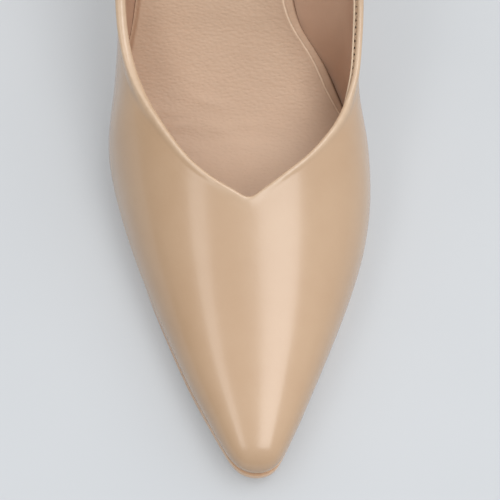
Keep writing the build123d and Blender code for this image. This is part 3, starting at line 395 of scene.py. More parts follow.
def leather(name, base, dark, light, rough=0.36, grain=0.10, pore=0.06, coat=0.0, sheen=0.0, spec=0.5, edge=None, scale=1.0, cross=1.0, coat_rough=0.22, rv=1.0, border=None):
    """smooth calf: faint tonal drift, fine pebble grain, pores, slightly uneven gloss"""
    s = NT(name)
    if cross != 1.0:
        mp = s.n("ShaderNodeMapping"); mp.inputs["Scale"].default_value = (1.0, cross, cross); s.l(s.co, mp.inputs["Vector"]); s.co = mp.outputs[0]
    big = s.noise(22, 3, 0.55); mid = s.noise(160, 4, 0.6); fine = s.noise(2600, 3, 0.6)
    tone = s.math("ADD", s.math("MULTIPLY", big, 0.8), s.math("MULTIPLY", mid, 0.2))
    c = s.ramp(tone, [(0.30, dark), (0.5, base), (0.70, light)])
    cells = s.voro(1500*scale, "F1"); c = s.mix(s.map(cells, 0.25, 0.75, 0.05, 0.0), c, dark)
    # lighter edge colour along the topline roll, read from an attribute mask: partly rubbed-edge wear, partly a painted
    # highlight on the crest of the roll
    if edge is not None:
        g = s.n("ShaderNodeAttribute", attribute_name="rim_wear_and_highlight"); w = s.math("MULTIPLY", g.outputs["Fac"], s.map(s.noise(420, 3, 0.6), 0.3, 0.7, 0.30, 0.50)); c = s.mix(w, c, edge)
    groove = None
    # sock's medial border: painted shade, painted highlight and a painted gap shadow, placed by distance attributes
    if border is not None:
        d = s.n("ShaderNodeAttribute", attribute_name="crease_d").outputs["Fac"]; ed = s.n("ShaderNodeAttribute", attribute_name="edge_d").outputs["Fac"]; on = s.n("ShaderNodeAttribute", attribute_name="crease_on").outputs["Fac"]
        wob = s.map(s.noise(260, 3, 0.6), 0.3, 0.7, -0.07, 0.07); d = s.math("ADD", d, wob)
        def line(v, at, half, k): return s.math("MULTIPLY", s.math("MULTIPLY", s.map(s.math("ABSOLUTE", s.math("SUBTRACT", v, at)), 0.0, half, 1.0, 0.0), on), k)
        # painted shade: the sock darkens within about 9 mm of the medial crease, toward the wall
        c = s.mix(s.math("MULTIPLY", s.math("MULTIPLY", s.map(d, -0.1, 9.0, 1.0, 0.0), on), 0.30), c, border[1])
        # painted shade in a thin dark line just outside the crease, and a painted highlight in a light line just inside
        # it
        c = s.mix(line(d, -0.42, 0.36, 0.30), c, border[1]); c = s.mix(line(d, 0.14, 0.48, 0.95), c, border[0])
        # painted shadow: a very dark strip on the outermost 1.5 mm of the sock, the shade of the gap against the medial
        # wall
        c = s.mix(s.math("MULTIPLY", s.math("MULTIPLY", s.map(ed, 0.45, 1.55, 1.0, 0.0), on), 0.9), c, border[2])
        groove = s.math("SUBTRACT", line(d, 0.2, 0.5, 1.0), line(d, -0.38, 0.5, 1.0))
    s.set(Base_Color=c, Roughness=s.map(s.math("ADD", s.math("MULTIPLY", mid, 0.6), s.math("MULTIPLY", fine, 0.4)), 0.3, 0.7, rough-0.045*rv, rough+0.06*rv), Specular_IOR_Level=spec)
    if coat: s.set(Coat_Weight=coat, Coat_Roughness=coat_rough)
    if sheen: s.set(Sheen_Weight=sheen, Sheen_Roughness=0.5)
    b1 = s.bump(s.voro(1250*scale, "SMOOTH_F1"), grain, 0.00012/scale)
    b2 = s.bump(s.noise(3800, 2, 0.5), pore, 0.00008, b1)
    b3 = s.bump(s.noise(95, 3, 0.5), 0.05*rv, 0.0006, b2)
    if groove is not None: b3 = s.bump(groove, 0.16, 0.0003, b3)
    s.l(b3, s.b.inputs["Normal"]); return s.m

# edge: the lighter rim colour, rubbed wear plus painted highlight on the topline roll
UPPER = leather("upper_leather", srgb(188, 157, 126), srgb(184, 152, 120), srgb(192, 162, 131), rough=0.25, grain=0.07, pore=0.035, coat=0.34, coat_rough=0.14, edge=srgb(226, 203, 176), rv=0.35)
LINING = leather("lining_leather", srgb(199, 164, 139), srgb(190, 154, 129), srgb(208, 175, 150), rough=0.58, grain=0.30, pore=0.15, spec=0.35)
LINING_EDGE = leather("lining_edge", srgb(214, 190, 163), srgb(200, 175, 147), srgb(226, 204, 178), rough=0.6, grain=0.4, pore=0.3, spec=0.3)
# border colours: painted highlight, painted shade and painted gap shadow along the sock's medial edge
SOCKM = leather("sock_leather", srgb(202, 173, 147), srgb(196, 167, 141), srgb(208, 180, 154), rough=0.50, grain=0.62, pore=0.25, spec=0.4, sheen=0.06, scale=0.62, cross=1.7, border=(srgb(232, 210, 184), srgb(160, 128, 104), srgb(92, 66, 50)))

def suede(name, a, b):
    s = NT(name); f = s.noise(900, 5, 0.75); g = s.noise(60, 3, 0.5)
    s.set(Base_Color=s.ramp(s.math("ADD", s.math("MULTIPLY", f, 0.6), s.math("MULTIPLY", g, 0.4)), [(0.35, a), (0.65, b)]), Roughness=0.92, Specular_IOR_Level=0.2, Sheen_Weight=0.45, Sheen_Roughness=0.45)
    s.l(s.bump(s.noise(2400, 5, 0.8), 0.55, 0.0002, s.bump(g, 0.2, 0.0008)), s.b.inputs["Normal"]); return s.m
SUEDE = suede("heel_grip_suede", srgb(158, 126, 100), srgb(188, 157, 130))

def thread(name, a, b):
    s = NT(name); w = s.n("ShaderNodeTexWave", wave_type="BANDS", bands_direction="DIAGONAL"); w.inputs["Scale"].default_value = 1400; w.inputs["Distortion"].default_value = 1.0
    s.l(s.co, w.inputs["Vector"])
    s.set(Base_Color=s.mix(w.outputs[1], a, b), Roughness=0.55, Sheen_Weight=0.25)
    s.l(s.bump(w.outputs[1], 0.5, 0.0001), s.b.inputs["Normal"]); return s.m
THREAD = thread("topline_thread", srgb(196, 163, 132), srgb(222, 193, 163))

def sole_mat(name):
    """polished tan sole leather: faint fibre streaks along the sole, scuffs on the tread"""
    s = NT(name); m = s.n("ShaderNodeMapping"); m.inputs["Scale"].default_value = (1.0, 0.12, 1.0); s.l(s.co, m.inputs["Vector"])
    st = s.noise(900, 5, 0.65, m.outputs[0]); big = s.noise(30, 4, 0.6)
    c = s.ramp(s.math("ADD", s.math("MULTIPLY", st, 0.5), s.math("MULTIPLY", big, 0.5)), [(0.32, srgb(206, 168, 134)), (0.5, srgb(218, 183, 150)), (0.7, srgb(228, 196, 165))])
    scuff = s.math("MULTIPLY", s.map(s.noise(420, 6, 0.8, m.outputs[0]), 0.55, 0.7, 0, 1), s.map(s.noise(45, 3, 0.5), 0.45, 0.62, 0, 0.5))
    s.set(Base_Color=s.mix(scuff, c, srgb(178, 142, 110)), Roughness=s.map(st, 0.3, 0.7, 0.32, 0.48), Specular_IOR_Level=0.5, Coat_Weight=0.15, Coat_Roughness=0.25)
    s.l(s.bump(st, 0.12, 0.0002, s.bump(s.noise(2200, 3, 0.6), 0.1, 0.0001)), s.b.inputs["Normal"]); return s.m
SOLE = sole_mat("sole_leather")

def board(name, a, b, scale=700, bump=0.35):
    s = NT(name); f = s.noise(scale, 6, 0.75); v = s.voro(scale*0.6)
    s.set(Base_Color=s.mix(s.map(v, 0.1, 0.6, 0.25, 0.0), s.ramp(f, [(0.35, a), (0.65, b)]), a), Roughness=0.85, Specular_IOR_Level=0.25)
    s.l(s.bump(f, bump, 0.0003), s.b.inputs["Normal"]); return s.m
BOARD = board("fibreboard", srgb(150, 122, 92), srgb(184, 156, 124))
STIFF = board("stiffener_sheet", srgb(205, 198, 182), srgb(228, 222, 208), 1100, 0.2)
CORK = board("cork_filler", srgb(122, 84, 52), srgb(188, 140, 92), 520, 0.6)
TAPE = board("reinforcing_tape", srgb(222, 218, 206), srgb(240, 236, 226), 2400, 0.5)

def steel(name, a=(0.55, 0.55, 0.56, 1), rough=0.32):
    s = NT(name); m = s.n("ShaderNodeMapping"); m.inputs["Scale"].default_value = (1, 0.05, 1); s.l(s.co, m.inputs["Vector"])
    st = s.noise(2600, 4, 0.6, m.outputs[0])
    s.set(Base_Color=s.mix(s.map(st, 0.3, 0.7, 0, 1), a, tuple(min(1, x*1.25) for x in a[:3])+(1,)), Metallic=1.0, Roughness=s.map(st, 0.3, 0.7, rough-0.06, rough+0.1))
    s.l(s.bump(st, 0.08, 0.0001), s.b.inputs["Normal"]); return s.m
STEEL = steel("plain_steel")

def plastic(name, a, b, rough=0.45):
    s = NT(name); f = s.noise(1500, 3, 0.6); g = s.noise(35, 3, 0.5)
    s.set(Base_Color=s.mix(s.map(g, 0.35, 0.65, 0, 1), a, b), Roughness=s.map(f, 0.3, 0.7, rough-0.06, rough+0.08), Specular_IOR_Level=0.5)
    s.l(s.bump(f, 0.12, 0.0001), s.b.inputs["Normal"]); return s.m
ABS = plastic("heel_core_plastic", srgb(226, 221, 208), srgb(216, 210, 196))
LIFT = plastic("top_lift", srgb(176, 140, 108), srgb(164, 128, 97), 0.5)
FOAM = board("latex_foam", srgb(222, 212, 184), srgb(240, 232, 208), 1600, 0.7)

def set_mat(node, mat):
    o = nodes[node]
    for i in range(max(1, len(o.material_slots))):
        if len(o.material_slots) == 0: o.data.materials.append(mat)
        else: o.material_slots[i].material = mat

# =============================================================================================
# the upper: vamp and two quarters, folded over at the topline
# =============================================================================================
TOPS = 0.7                        # the skin is followed to this far below the edge, then rolls over
CREST = 131.0                     # mm along the crest per unit of u near the V
def side(u):
    """0 at the V of the topline, 1 along the sides"""
    return smooth(2.0, 46.0, np.abs(np.mod(u, 1.0)-0.5)*CREST)

def bead_mm(s, w):
    """how far the fold stands proud, s mm below the edge, where side() is w"""
    pos = 0.55+0.75*w; wid = 0.80+1.05*w; h = 0.13+0.36*w
    return h*np.exp(-(np.abs(s-pos)/wid)**2.6)-0.05*w*np.exp(-((s-4.4)/0.9)**2)

def fold_d(u):
    """depth of the fold's inner face: thicker on the outer side of the foot"""
    return 1.62+side(u)*(0.53+0.60*np.sin(2*pi*np.asarray(u)))

def edge_soft(du):
    """pull the skin in where two pieces meet: du mm from the seam"""
    return 0.42*np.exp(-(du/0.42)**2)+0.10*np.exp(-(du/1.4)**2)

def shell_piece(name, u0, u1, step, mat, reps, seams=(True, True)):
    g = np.linspace(u0, u1, 4001); c = np.mod(g, 1.0)
    d = 1+1.8*np.exp(-((c-0.5)/0.035)**2)+0.5*(np.exp(-(c/0.05)**2)+np.exp(-((c-1)/0.05)**2))
    cum = np.r_[0, np.cumsum((d[1:]+d[:-1])/2)]; n = int(PER*abs(u1-u0)*(cum[-1]/4000)/step)
    # extra stations close to the seams so that the groove is round
    u = np.interp(np.linspace(0, cum[-1], n), cum, g)
    ex = np.array([0.15, 0.3, 0.5, 0.75, 1.1, 1.6])/PER
    u = np.unique(np.r_[u, u0+ex, u1-ex]); u = u[np.r_[True, np.diff(u) > 2e-5]]
    ll = line_len(u); mg = margin(u)
    k = int(75*Q*0.7/step*0.8)
    # rows by distance: margin, rolled feather edge, wall, last millimetres
    base = np.r_[np.linspace(0, 0.14, 16)[:-1], np.linspace(0.14, 1, max(k, 40))]
    svals = np.array([6.5, 5.6, 5.0, 4.6, 4.2, 3.8, 3.4, 3.0, 2.6, 2.2, 1.8, 1.4, 1.0, TOPS])
    vcut = 1-7.2/ll
    rows = []
    for a in np.linspace(1, 0, 5)[:-1]: rows.append(-mg*a)
    for b in base: rows.append(b*vcut)
    for sv in svals: rows.append(1-sv/ll)
    V = np.stack(rows, 1)
    S, N = skin_frame(u, V)
    sdist = (1-V)*ll[:, None]
    ws = side(u)[:, None]; bd = np.where(V > 0, bead_mm(sdist, ws), 0.0)
    du = np.minimum(np.abs(u-u0) if seams[0] else 1e9, np.abs(u-u1) if seams[1] else 1e9)*PER
    es = edge_soft(du)[:, None]
    out = S+N*(bd-es)[..., None]
    # inner face of the leather, 1 mm below the skin throughout
    dep = np.where(sdist < 1.9, 1.0, 1.0)+0*V
    inn = S-N*dep[..., None]
    # roll over the top
    vt = V[:, -1:]; P1, N1 = S[:, -1], N[:, -1]
    tg = skin(u, vt)[:, 0]-skin(u, vt-0.6/ll[:, None])[:, 0]; tg /= np.linalg.norm(tg, axis=1, keepdims=True)
    b0 = bead_mm(np.array(TOPS), ws); D1 = fold_d(u)[:, None]; cap = []
    for a in np.linspace(0, pi, 15)[1:]:
        e = (0.80+0.30*ws)*sin(a)**0.85; dd = -b0+(D1+b0)*(1-cos(a))/2
        cap.append(P1-N1*(dd+es*(1 if a < 1.0 else 0.4))+tg*e)
    # down the inside: swell, then the stitched groove, then tucked behind the lining
    inner = []
    for sv, dd in ((0.95, 2.10), (1.25, 1.98), (1.5, 1.66), (1.7, 1.42), (2.0, 1.34), (2.6, 1.10)):
        Vq = 1-sv/ll[:, None]; s1, n1 = skin(u, Vq)[:, 0], N1
        inner.append(s1-n1*(dd+(D1-2.12)*min(max((dd-1.34)/0.5, 0), 1)))
    # loop: out rows upward, cap, inner down, inner face rows downward
    dv = (0.30*np.exp(-(np.sqrt(((np.mod(u, 1.0)-0.5)*CREST)**2+0.10)/2.3)))[:, None]
    out = out-tg[:, None, :]*(dv*np.exp(-(sdist/4.5)**2))[..., None]; inn = inn-tg[:, None, :]*(dv*np.exp(-(sdist/4.5)**2))[..., None]
    cap = [c-tg*dv for c in cap]; inner = [c-tg*dv for c in inner]
    loop = [out[:, j] for j in range(V.shape[1])]+cap+inner
    inn_rows = [j for j in range(V.shape[1]) if True]
    keep = [j for j in range(V.shape[1]) if j < V.shape[1]-len(svals)+3]
    loop += [inn[:, j] for j in keep[::-1]]
    P = np.stack(loop, 1)
    verts, faces = tube_grid(M(P), cap=False)
    # ends: fill the loop with a ladder between matching outer and inner rows
    m, nn = P.shape[:2]; idx = np.arange(m*nn).reshape(m, nn); nk = len(keep)
    for row, flip in ((idx[0], False), (idx[-1], True)):
        for j in range(nk-1):
            q = (row[j], row[nn-1-j], row[nn-2-j], row[j+1]); faces.append(q[::-1] if flip else q)
        rest = list(row[nk-1:nn-nk+1]); rest = rest if flip else rest[::-1]
        c = M(P[0 if not flip else -1, nk-1:nn-nk+1].mean(0)); ci = len(verts); verts = np.vstack([verts, c[None]])
        for a, b in zip(rest, rest[1:]+rest[:1]): faces.append((a, b, ci))
    o = add_mesh(name, verts, faces, mat); fix_normals(o)
    # mask for the lighter rim colour: strongest on the bead's crest and over the roll, faint down the inside; rubbed
    # wear plus painted highlight
    wr = np.concatenate([np.exp(-(np.maximum(sdist, 0)/1.5)**2)*np.exp(-((bd-0.35)/0.5)**2)]+[np.full((m, len(cap)), 0.75)]+[np.full((m, len(inner)), 0.2)]+[np.zeros((m, nk))], 1).reshape(-1)
    at = o.data.attributes.new("rim_wear_and_highlight", "FLOAT", "POINT"); full = np.zeros(len(o.data.vertices), np.float32); full[:len(wr)] = wr; at.data.foreach_set("value", full)
    return put(o, *reps, slot="upper_leather")

STEP = 0.75/Q
vamp = shell_piece("vamp_leather", UL+0.00012, UM-0.00012, STEP, UPPER, ["vamp"])
ql = shell_piece("quarter_lateral_leather", 0.00012, UL-0.00012, STEP*1.3, UPPER, ["quarter_lateral"])
qm = shell_piece("quarter_medial_leather", UM+0.00012, 1-0.00012, STEP*1.3, UPPER, ["quarter_medial"])

# =============================================================================================
# linings
# =============================================================================================
LTOP = 1.25                       # lining edge below the crest of the topline
def lining_piece(name, u0, u1, step, mat, reps, slot, extra=0.0, seams=(True, True)):
    n = int(PER*abs(u1-u0)/step); u = np.linspace(u0, u1, n)
    ex = np.array([0.15, 0.3, 0.5, 0.8])/PER; u = np.unique(np.r_[u, u0+ex, u1-ex])
    ll = line_len(u); vt = 1-LTOP/ll; vcut = vt-1.6/ll
    rows = [-(margin(u)-1.0)*a for a in (1, 0.5)]+[b*vcut for b in np.r_[np.linspace(0, 0.14, 10)[:-1], np.linspace(0.14, 1, 42)]]
    rows += [vt-q/ll for q in (1.2, 0.8, 0.45, 0.2)]
    V = np.stack(rows, 1); S, N = skin_frame(u, V); st = stiff(u, V)
    du = np.minimum(np.abs(u-u0) if seams[0] else 1e9, np.abs(u-u1) if seams[1] else 1e9)*PER
    es = (0.22*np.exp(-(du/0.4)**2))[:, None]
    d_in = T_UPPER+2*GAP+T_LINING+st+extra*smooth(0, 0.06, V)-es; d_out = T_UPPER+2*GAP+st
    lean = (0.52*np.sqrt(np.maximum(-np.sin(2*pi*u), 0))*side(u))[:, None]*(1-smooth(0.0, 3.4, (vt[:, None]-V)*ll[:, None]))*(V > 0.5)
    d_in = d_in+lean; d_out = d_out+lean; inn = S-N*d_in[..., None]; out = S-N*d_out[..., None]
    # rounded raw edge on top
    P1, N1 = skin(u, vt[:, None])[:, 0], N[:, -1]; tg = P1-S[:, -1]; tg /= np.linalg.norm(tg, axis=1, keepdims=True)
    a0, a1 = d_out[:, -1], d_in[:, -1]; cap = []
    for a in np.linspace(0, pi, 7)[1:-1]:
        dd = (a0+a1)/2+(a1-a0)/2*cos(a); cap.append(P1-N1*dd[:, None]+tg*(0.26*sin(a)-0.1))
    loop = [inn[:, j] for j in range(V.shape[1])]+cap+[out[:, j] for j in range(V.shape[1])][::-1]
    P = np.stack(loop, 1); verts, faces = tube_grid(M(P))
    o = add_mesh(name, verts, faces, mat); o.data.materials.append(LINING_EDGE)
    nn = P.shape[1]; lo_, hi_ = V.shape[1]-2, V.shape[1]+len(cap)+1
    for f in o.data.polygons:
        ks = [v % nn for v in f.vertices]
        if min(ks) >= lo_ and max(ks) <= hi_: f.material_index = 1
    fix_normals(o)
    return put(o, *reps, slot=slot)
UG = 0.088
lining_piece("vamp_lining_leather", UL+0.0001, UM-0.0001, 1.1/Q, LINING, ["vamp_lining"], "lining_leather")
lining_piece("quarter_lining_lateral_leather", UG+0.0001, UL-0.0001, 1.4/Q, LINING, ["quarter_lining_lateral"], "lining_leather")
lining_piece("quarter_lining_medial_leather", UM+0.0001, 1-UG-0.0001, 1.4/Q, LINING, ["quarter_lining_medial"], "lining_leather")
lining_piece("heel_grip_suede", -UG+0.0001, UG-0.0001, 1.4/Q, SUEDE, ["heel_grip"], "suede", extra=0.15)

# =============================================================================================
# stitches inside the fold
# =============================================================================================
def stitches():
    u = np.linspace(0, 1, 2401)[:-1]; ll = line_len(u[::8]); ll = np.interp(u, np.r_[u[::8], 1], np.r_[ll, ll[0]])
    V = 1-np.stack([1.32/ll, 1.9/ll], 1); S, N = skin_frame(u, V)
    C = S[:, 0]-N[:, 0]*(np.minimum(fold_d(u), 2.2)+0.10)[:, None]; tg = S[:, 0]-S[:, 1]; tg /= np.linalg.norm(tg, axis=1, keepdims=True)
    L = np.r_[0, np.cumsum(np.linalg.norm(np.diff(np.r_[C, C[:1]], axis=0), axis=1))]; n = int(L[-1]/2.05)
    verts, faces = [], []
    def at(s):
        s = s % L[-1]; i = min(int(np.searchsorted(L, s, side="right"))-1, len(C)-1); j = (i+1) % len(C); f = (s-L[i])/max(L[i+1]-L[i], 1e-9)
        return C[i]*(1-f)+C[j]*f, N[i, 0]*(1-f)+N[j, 0]*f, tg[i]*(1-f)+tg[j]*f
    for k in range(n):
        s0 = (k+0.05)*L[-1]/n; ln = 0.90*L[-1]/n; base = len(verts)
        for a in range(9):
            w = a/8; c, nn_, tt = at(s0+ln*w); r = 0.17*sqrt(max(1-(2*w-1)**4, 0.0))+0.012; sink = 0.12*(2*w-1)**2
            d = at(s0+ln*w+0.05)[0]-c; d /= np.linalg.norm(d); b = np.cross(d, nn_); b /= np.linalg.norm(b); q = np.cross(b, d)
            for j in range(8):
                an = 2*pi*j/8+w*2.2; verts.append(c+nn_*sink+r*(cos(an)*b+sin(an)*q))
        for a in range(8):
            for j in range(8):
                j2 = (j+1) % 8; faces.append((base+a*8+j, base+a*8+j2, base+(a+1)*8+j2, base+(a+1)*8+j))
        faces.append(tuple(base+j for j in range(7, -1, -1))); faces.append(tuple(base+64+j for j in range(8)))
    o = add_mesh("topline_stitches", M(np.array(verts)), faces, THREAD); fix_normals(o)
    return put(o, "topline_stitching", slot="thread")
stitches()

# =============================================================================================
# sock and foam pads
# =============================================================================================
H0 = T_UPPER+T_LINING+2*GAP+0.08; HBT = H0+T_BOARD; HST = HBT+0.04+T_SHANKBOARD
def sock_h(t): t = np.asarray(t, float); return SOCK_LIFT-(SOCK_LIFT-HST-0.06)*smooth(108, 136, t)+2.3*smooth(178, 206, t)
UA = np.linspace(0, 1, 241)[:-1]
def inner_out(u, hs, extra=0.0):
    V = np.tile(np.linspace(0, 0.45, 70), (len(u), 1)); D = T_UPPER+2*GAP+T_LINING+stiff(u, V)+extra+0.15*(np.abs(uc(u)) < UG+0.01)[:, None]
    P = layer(u, V, D); F = feather(u); n = plan_n(u)
    h = (P[..., 2]-ZB(P[..., 1]))/NZ(P[..., 1]); o = ((P-F[:, None, :])*n[:, None, :]).sum(-1)
    res = []
    for k in range(len(u)):
        row = []
        for hh in hs[k]:
            i = int(np.argmax(h[k] >= hh)) if (h[k] >= hh).any() else len(h[k])-1
            row.append(o[k, i-1]+(o[k, i]-o[k, i-1])*(hh-h[k, i-1])/max(h[k, i]-h[k, i-1], 1e-9) if i > 0 else o[k, 0])
        res.append(min(row))
    return np.array(res)
FA = feather(UA); NA = plan_n(UA)
def plan_at(heights, less):
    """closed plan line just inside the lining at these heights over the seat"""
    off = inner_out(UA, heights)-less
    return (FA+NA*off[:, None])[:, :2]
def cut_x(line, t):
    """lateral and medial x where the closed line crosses t"""
    x, y = line[:, 0], line[:, 1]; x2, y2 = np.roll(x, -1), np.roll(y, -1); k = (y-t)*(y2-t) <= 0
    k &= y != y2; xs = x[k]+(x2[k]-x[k])*(t-y[k])/(y2[k]-y[k]); return xs.min(), xs.max()

def pad_piece(name, t0, t1, line, zb, zt, edge_drop, edge_w, nt, nx, mat, reps, slot, ruck=None, crease=None, square_front=True):
    """a soft slab between zb(t) and zt(t), crowned and rolled down at its edges"""
    w = np.linspace(0, 1, nt); tb = line[:, 1].max()-0.02; t1 = min(t1, tb)
    ts = t0+(t1-t0)*(1-(1-w)**1.8) if t1 > tb-1 else t0+(t1-t0)*w
    ts[-1] = t1-1e-3
    rows_t, rows_b, cr = [], [], [[], [], []]
    for t in ts:
        a, b = cut_x(line, float(t)); c, h = (a+b)/2, (b-a)/2
        s = np.linspace(-1, 1, nx); s = np.sin(s*pi/2)*0.55+s*0.45; x = c+h*s
        # distance to the outline, measured in plan
        e = np.minimum(h-np.abs(x-c), t1-t) if t1 > tb-1 else h-np.abs(x-c)
        e = np.maximum(e, 0); nz = float(NZ(t)); sl = sqrt(nz*nz-1)
        top = zt(t)+0*x-edge_drop(x, t, e, c); 
        if ruck is not None: top = top+ruck(x, t, e)
        zz = ZB(t)+top*nz; z0 = ZB(t)+zb(t)*nz+0*x
        if crease is not None:
            for rows, v in zip(cr, crease(x, t, e, c)): rows.append(np.r_[v, v[::-1]])
        rows_t.append(np.stack([x, t+0*x, zz], -1)); rows_b.append(np.stack([x, t+0*x, np.minimum(z0, zz-0.05)], -1))
    Tp, Bt = np.array(rows_t), np.array(rows_b)
    loop = np.concatenate([Tp, Bt[:, ::-1]], 1)
    verts, faces = tube_grid(M(loop)); o = add_mesh(name, verts, faces, mat); fix_normals(o)
    if crease is not None:
        for nm, rows in zip(("crease_d", "edge_d", "crease_on"), cr):
            v = np.array(rows, np.float32).ravel(); full = np.zeros(len(o.data.vertices), np.float32); full[:len(v)] = v
            o.data.attributes.new(nm, "FLOAT", "POINT").data.foreach_set("value", full)
    return put(o, *reps, slot=slot)

rng = np.random.RandomState(7)
pk = [(rng.uniform(-26, 4), rng.uniform(106, 121), rng.uniform(-0.5, 0.5), rng.uniform(4, 9)) for _ in range(9)]
def ruck(x, t, e):
    """the faint puckers where the sock leather meets the ball, on the outer side"""
    r = 0.0*x
    for px, pt, an, ln in pk:
        dx, dt = x-px, t-pt; a = dx*cos(an)+dt*sin(an); b = -dx*sin(an)+dt*cos(an)
        r = r+0.22*np.exp(-(a/ln)**2)*np.exp(-(b/1.3)**2)
    return r
def drop_sock(x, t, e, c):
    """the medial border: a pressed crease 4 mm in, then a step and a soft roll down to the edge"""
    med = x > c; n = smooth(104, 117, t)*(1-smooth(212, 232, t)); wd = 1.2+3.0*smooth(106, 128, t)
    q = np.clip(e/wd, 0, 1); roll = 0.42*(1-smooth(0.78, 1.0, q))+1.25*(1-q)**1.4+1.0*(1-smooth(0, 0.34, q))
    m = roll*n+0.8*(1-smooth(0, 2.0, e))*(1-n)+n*(0.50*np.exp(-((e-wd)/0.26)**2)-0.14*np.exp(-((e-wd-0.75)/0.40)**2))
    l = 1.0*(1-smooth(0.0, 2.2, e))
    return np.where(med, m, l)
def sock_lines(x, t, e, c):
    """distance to the crease, distance to the edge (mm) and where the medial border runs"""
    n = smooth(104, 112, t)*(1-smooth(212, 232, t)); wd = 1.2+3.0*smooth(106, 128, t); med = smooth(2, 6, x-c)
    return e-wd+40*(1-med), e+0.0*x, n*med+0.0*x
hsock = np.stack([sock_h(FA[:, 1]), sock_h(FA[:, 1])+T_SOCK], 1)
LINE_SOCK = plan_at(hsock, 0.04)
pad_piece("sock_leather", 13.0, 243.0, LINE_SOCK, lambda t: sock_h(t), lambda t: sock_h(t)+T_SOCK+0.55*smooth(14, 50, t), drop_sock, 4.0, int(330*Q), int(110*Q), SOCKM, ["sock"], "sock_leather", ruck, sock_lines)
hp = np.stack([HBT+0*FA[:, 1], SOCK_LIFT+0*FA[:, 1]], 1); LINE_PAD = plan_at(hp, 0.5)
pad_piece("ball_foam", 13.0, 119.0, LINE_PAD, lambda t: HBT+0.06, lambda t: sock_h(t)-0.06, lambda x, t, e, c: 0.5*(1-smooth(0, 2.0, e)), 2.0, 70, 30, FOAM, ["ball_pad"], "foam")
hh2 = np.stack([HST+0*FA[:, 1], sock_h(FA[:, 1])], 1); LINE_HP = plan_at(hh2, 0.9)
pad_piece("heel_foam", 191.5, 236.0, LINE_HP, lambda t: HST+0.06, lambda t: sock_h(t)-0.06, lambda x, t, e, c: 0.5*(1-smooth(0, 2.0, e)), 2.0, 40, 30, FOAM, ["heel_pad"], "foam")

# =============================================================================================
# CAD nodes that stay
# =============================================================================================
for n, m in (("outsole", SOLE), ("heel_cover", UPPER), ("heel_block", ABS), ("top_piece", LIFT), ("insole_board", BOARD), ("shank_board", BOARD), ("bottom_filler", CORK),
             ("toe_puff", STIFF), ("heel_counter", STIFF), ("topline_tape", TAPE), ("shank_steel", STEEL), ("shank_rivet_front", STEEL), ("shank_rivet_rear", STEEL), ("heel_dowel", STEEL),
             ("heel_screw", STEEL), ("top_piece_pin", STEEL), ("heel_nail_1", STEEL), ("heel_nail_2", STEEL), ("heel_nail_3", STEEL), ("heel_nail_4", STEEL)):
    set_mat(n, m)

# =============================================================================================
# floor, light, camera
# =============================================================================================
def floor():
    me = bpy.data.meshes.new("floor"); s = 6.0; me.from_pydata([(-s, -s, 0), (s, -s, 0), (s, s, 0), (-s, s, 0)], [], [(0, 1, 2, 3)])
    o = bpy.data.objects.new("floor", me); bpy.context.scene.collection.objects.link(o)
    # the floor glows faintly (emission 0.17): painted light that lifts the contact shadows and lights the shoe's
    # underside
    t = NT("pale_floor_glowing"); t.set(Base_Color=t.mix(t.map(t.noise(6, 3, 0.5), 0.3, 0.7, 0, 1), (0.40, 0.42, 0.435, 1), (0.43, 0.448, 0.462, 1)), Roughness=0.9, Specular_IOR_Level=0.2, Emission_Color=(0.95, 0.975, 1.0, 1), Emission_Strength=0.17)
    me.materials.append(t.m); return o
floor()

def area(name, d, dist, sx, sy, power, color=(1, 1, 1), aim=(0, -0.05, 0.03), spin=0.0, dif=1.0, spec=1.0):
    L = bpy.data.lights.new(name, "AREA"); L.shape = "RECTANGLE"; L.size = sx; L.size_y = sy; L.energy = power; L.color = color
    L.diffuse_factor = dif; L.specular_factor = spec
    o = bpy.data.objects.new(name, L); bpy.context.scene.collection.objects.link(o)
    d = Vector(d).normalized(); loc = Vector(aim)+d*dist
    z = d; y = Vector((0, 1, 0)); x = y.cross(z).normalized(); y = z.cross(x)
    R = Matrix((x, y, z)).transposed().to_4x4(); o.matrix_world = Matrix.Translation(loc) @ R @ Matrix.Rotation(spin, 4, "Z"); return o
area("soft_left", (-0.41, -0.24, 0.88), 1.6, 0.34, 1.5, 4.2, (1.0, 0.985, 0.97), dif=0.5, spec=1.6)
area("soft_right", (0.27, -0.20, 0.94), 1.6, 0.60, 1.6, 12.4, (1.0, 0.972, 0.96), dif=0.5, spec=1.25)
area("fill_back", (0.1, 0.95, 0.55), 2.2, 1.6, 1.0, 2.0, (0.97, 0.98, 1.0))
# soft room: brightest overhead, falling off towards the horizon and a little to the left
W = bpy.data.worlds.new("room") if bpy.context.scene.world is None else bpy.context.scene.world
bpy.context.scene.world = W; W.use_nodes = True; wt = W.node_tree; wt.nodes.clear()
wo = wt.nodes.new("ShaderNodeOutputWorld"); bg = wt.nodes.new("ShaderNodeBackground"); wc = wt.nodes.new("ShaderNodeTexCoord"); sx = wt.nodes.new("ShaderNodeSeparateXYZ")
wt.links.new(wc.outputs["Generated"], sx.inputs[0]); wt.links.new(bg.outputs[0], wo.inputs[0])
mz = wt.nodes.new("ShaderNodeMapRange"); mz.interpolation_type = "SMOOTHSTEP"
mz.inputs[1].default_value = -0.05; mz.inputs[2].default_value = 0.85; mz.inputs[3].default_value = 0.50; mz.inputs[4].default_value = 0.78; wt.links.new(sx.outputs[2], mz.inputs[0])
my = wt.nodes.new("ShaderNodeMapRange"); my.inputs[1].default_value = -1; my.inputs[2].default_value = 1; my.inputs[3].default_value = 0.47; my.inputs[4].default_value = 1.36; wt.links.new(sx.outputs[1], my.inputs[0])
mx = wt.nodes.new("ShaderNodeMapRange"); mx.inputs[1].default_value = -1; mx.inputs[2].default_value = 1; mx.inputs[3].default_value = 0.97; mx.inputs[4].default_value = 1.46; wt.links.new(sx.outputs[0], mx.inputs[0])
m1 = wt.nodes.new("ShaderNodeMath"); m1.operation = "MULTIPLY"; wt.links.new(mz.outputs[0], m1.inputs[0]); wt.links.new(mx.outputs[0], m1.inputs[1])
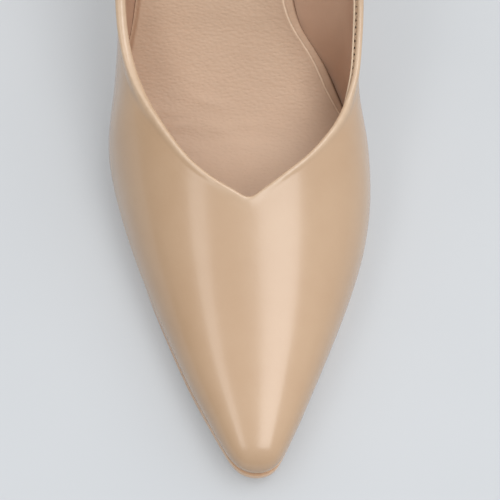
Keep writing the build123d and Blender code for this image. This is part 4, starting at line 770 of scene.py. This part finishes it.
md = wt.nodes.new("ShaderNodeVectorMath"); md.operation = "DOT_PRODUCT"; md.inputs[1].default_value = (-0.82, -0.46, 0.29); wt.links.new(wc.outputs["Generated"], md.inputs[0])
mk = wt.nodes.new("ShaderNodeMapRange"); mk.interpolation_type = "SMOOTHSTEP"; mk.inputs[1].default_value = 0.72; mk.inputs[2].default_value = 1.0; mk.inputs[3].default_value = 1.0; mk.inputs[4].default_value = 0.40; wt.links.new(md.outputs["Value"], mk.inputs[0])
m2 = wt.nodes.new("ShaderNodeMath"); m2.operation = "MULTIPLY"; wt.links.new(m1.outputs[0], m2.inputs[0]); wt.links.new(mk.outputs[0], m2.inputs[1])
mm = wt.nodes.new("ShaderNodeMath"); mm.operation = "MULTIPLY"; wt.links.new(m2.outputs[0], mm.inputs[0]); wt.links.new(my.outputs[0], mm.inputs[1])
bg.inputs[0].default_value = (0.955, 0.97, 1.0, 1); wt.links.new(mm.outputs[0], bg.inputs[1])

def camera():
    az, el, roll = radians(-5.0), radians(66.0), radians(4.6154)
    tgt = (np.array([3.5257, 66.222, 25.0])-np.array([X0, T0, 0]))/1000.0
    back = np.array([sin(az)*cos(el), -cos(az)*cos(el), sin(el)]); pos = tgt+back*0.6; fwd = -back
    right = np.cross(fwd, [0, 0, 1.0]); right /= np.linalg.norm(right); up = np.cross(right, fwd)
    R2 = cos(roll)*right+sin(roll)*up; U2 = -sin(roll)*right+cos(roll)*up
    c = bpy.data.cameras.new("camera"); c.sensor_width = 36.0; c.sensor_fit = "HORIZONTAL"; c.lens = 2003.1/500*36.0; c.clip_start = 0.02; c.clip_end = 50
    o = bpy.data.objects.new("camera", c); bpy.context.scene.collection.objects.link(o)
    m = Matrix.Identity(4)
    for i in range(3): m[i][0], m[i][1], m[i][2], m[i][3] = R2[i], U2[i], back[i], pos[i]
    o.matrix_world = m; bpy.context.scene.camera = o
camera()
sc = bpy.context.scene
sc.view_settings.view_transform = "Standard"; sc.view_settings.look = "None"; sc.view_settings.exposure = 0.0; sc.view_settings.gamma = 1.0
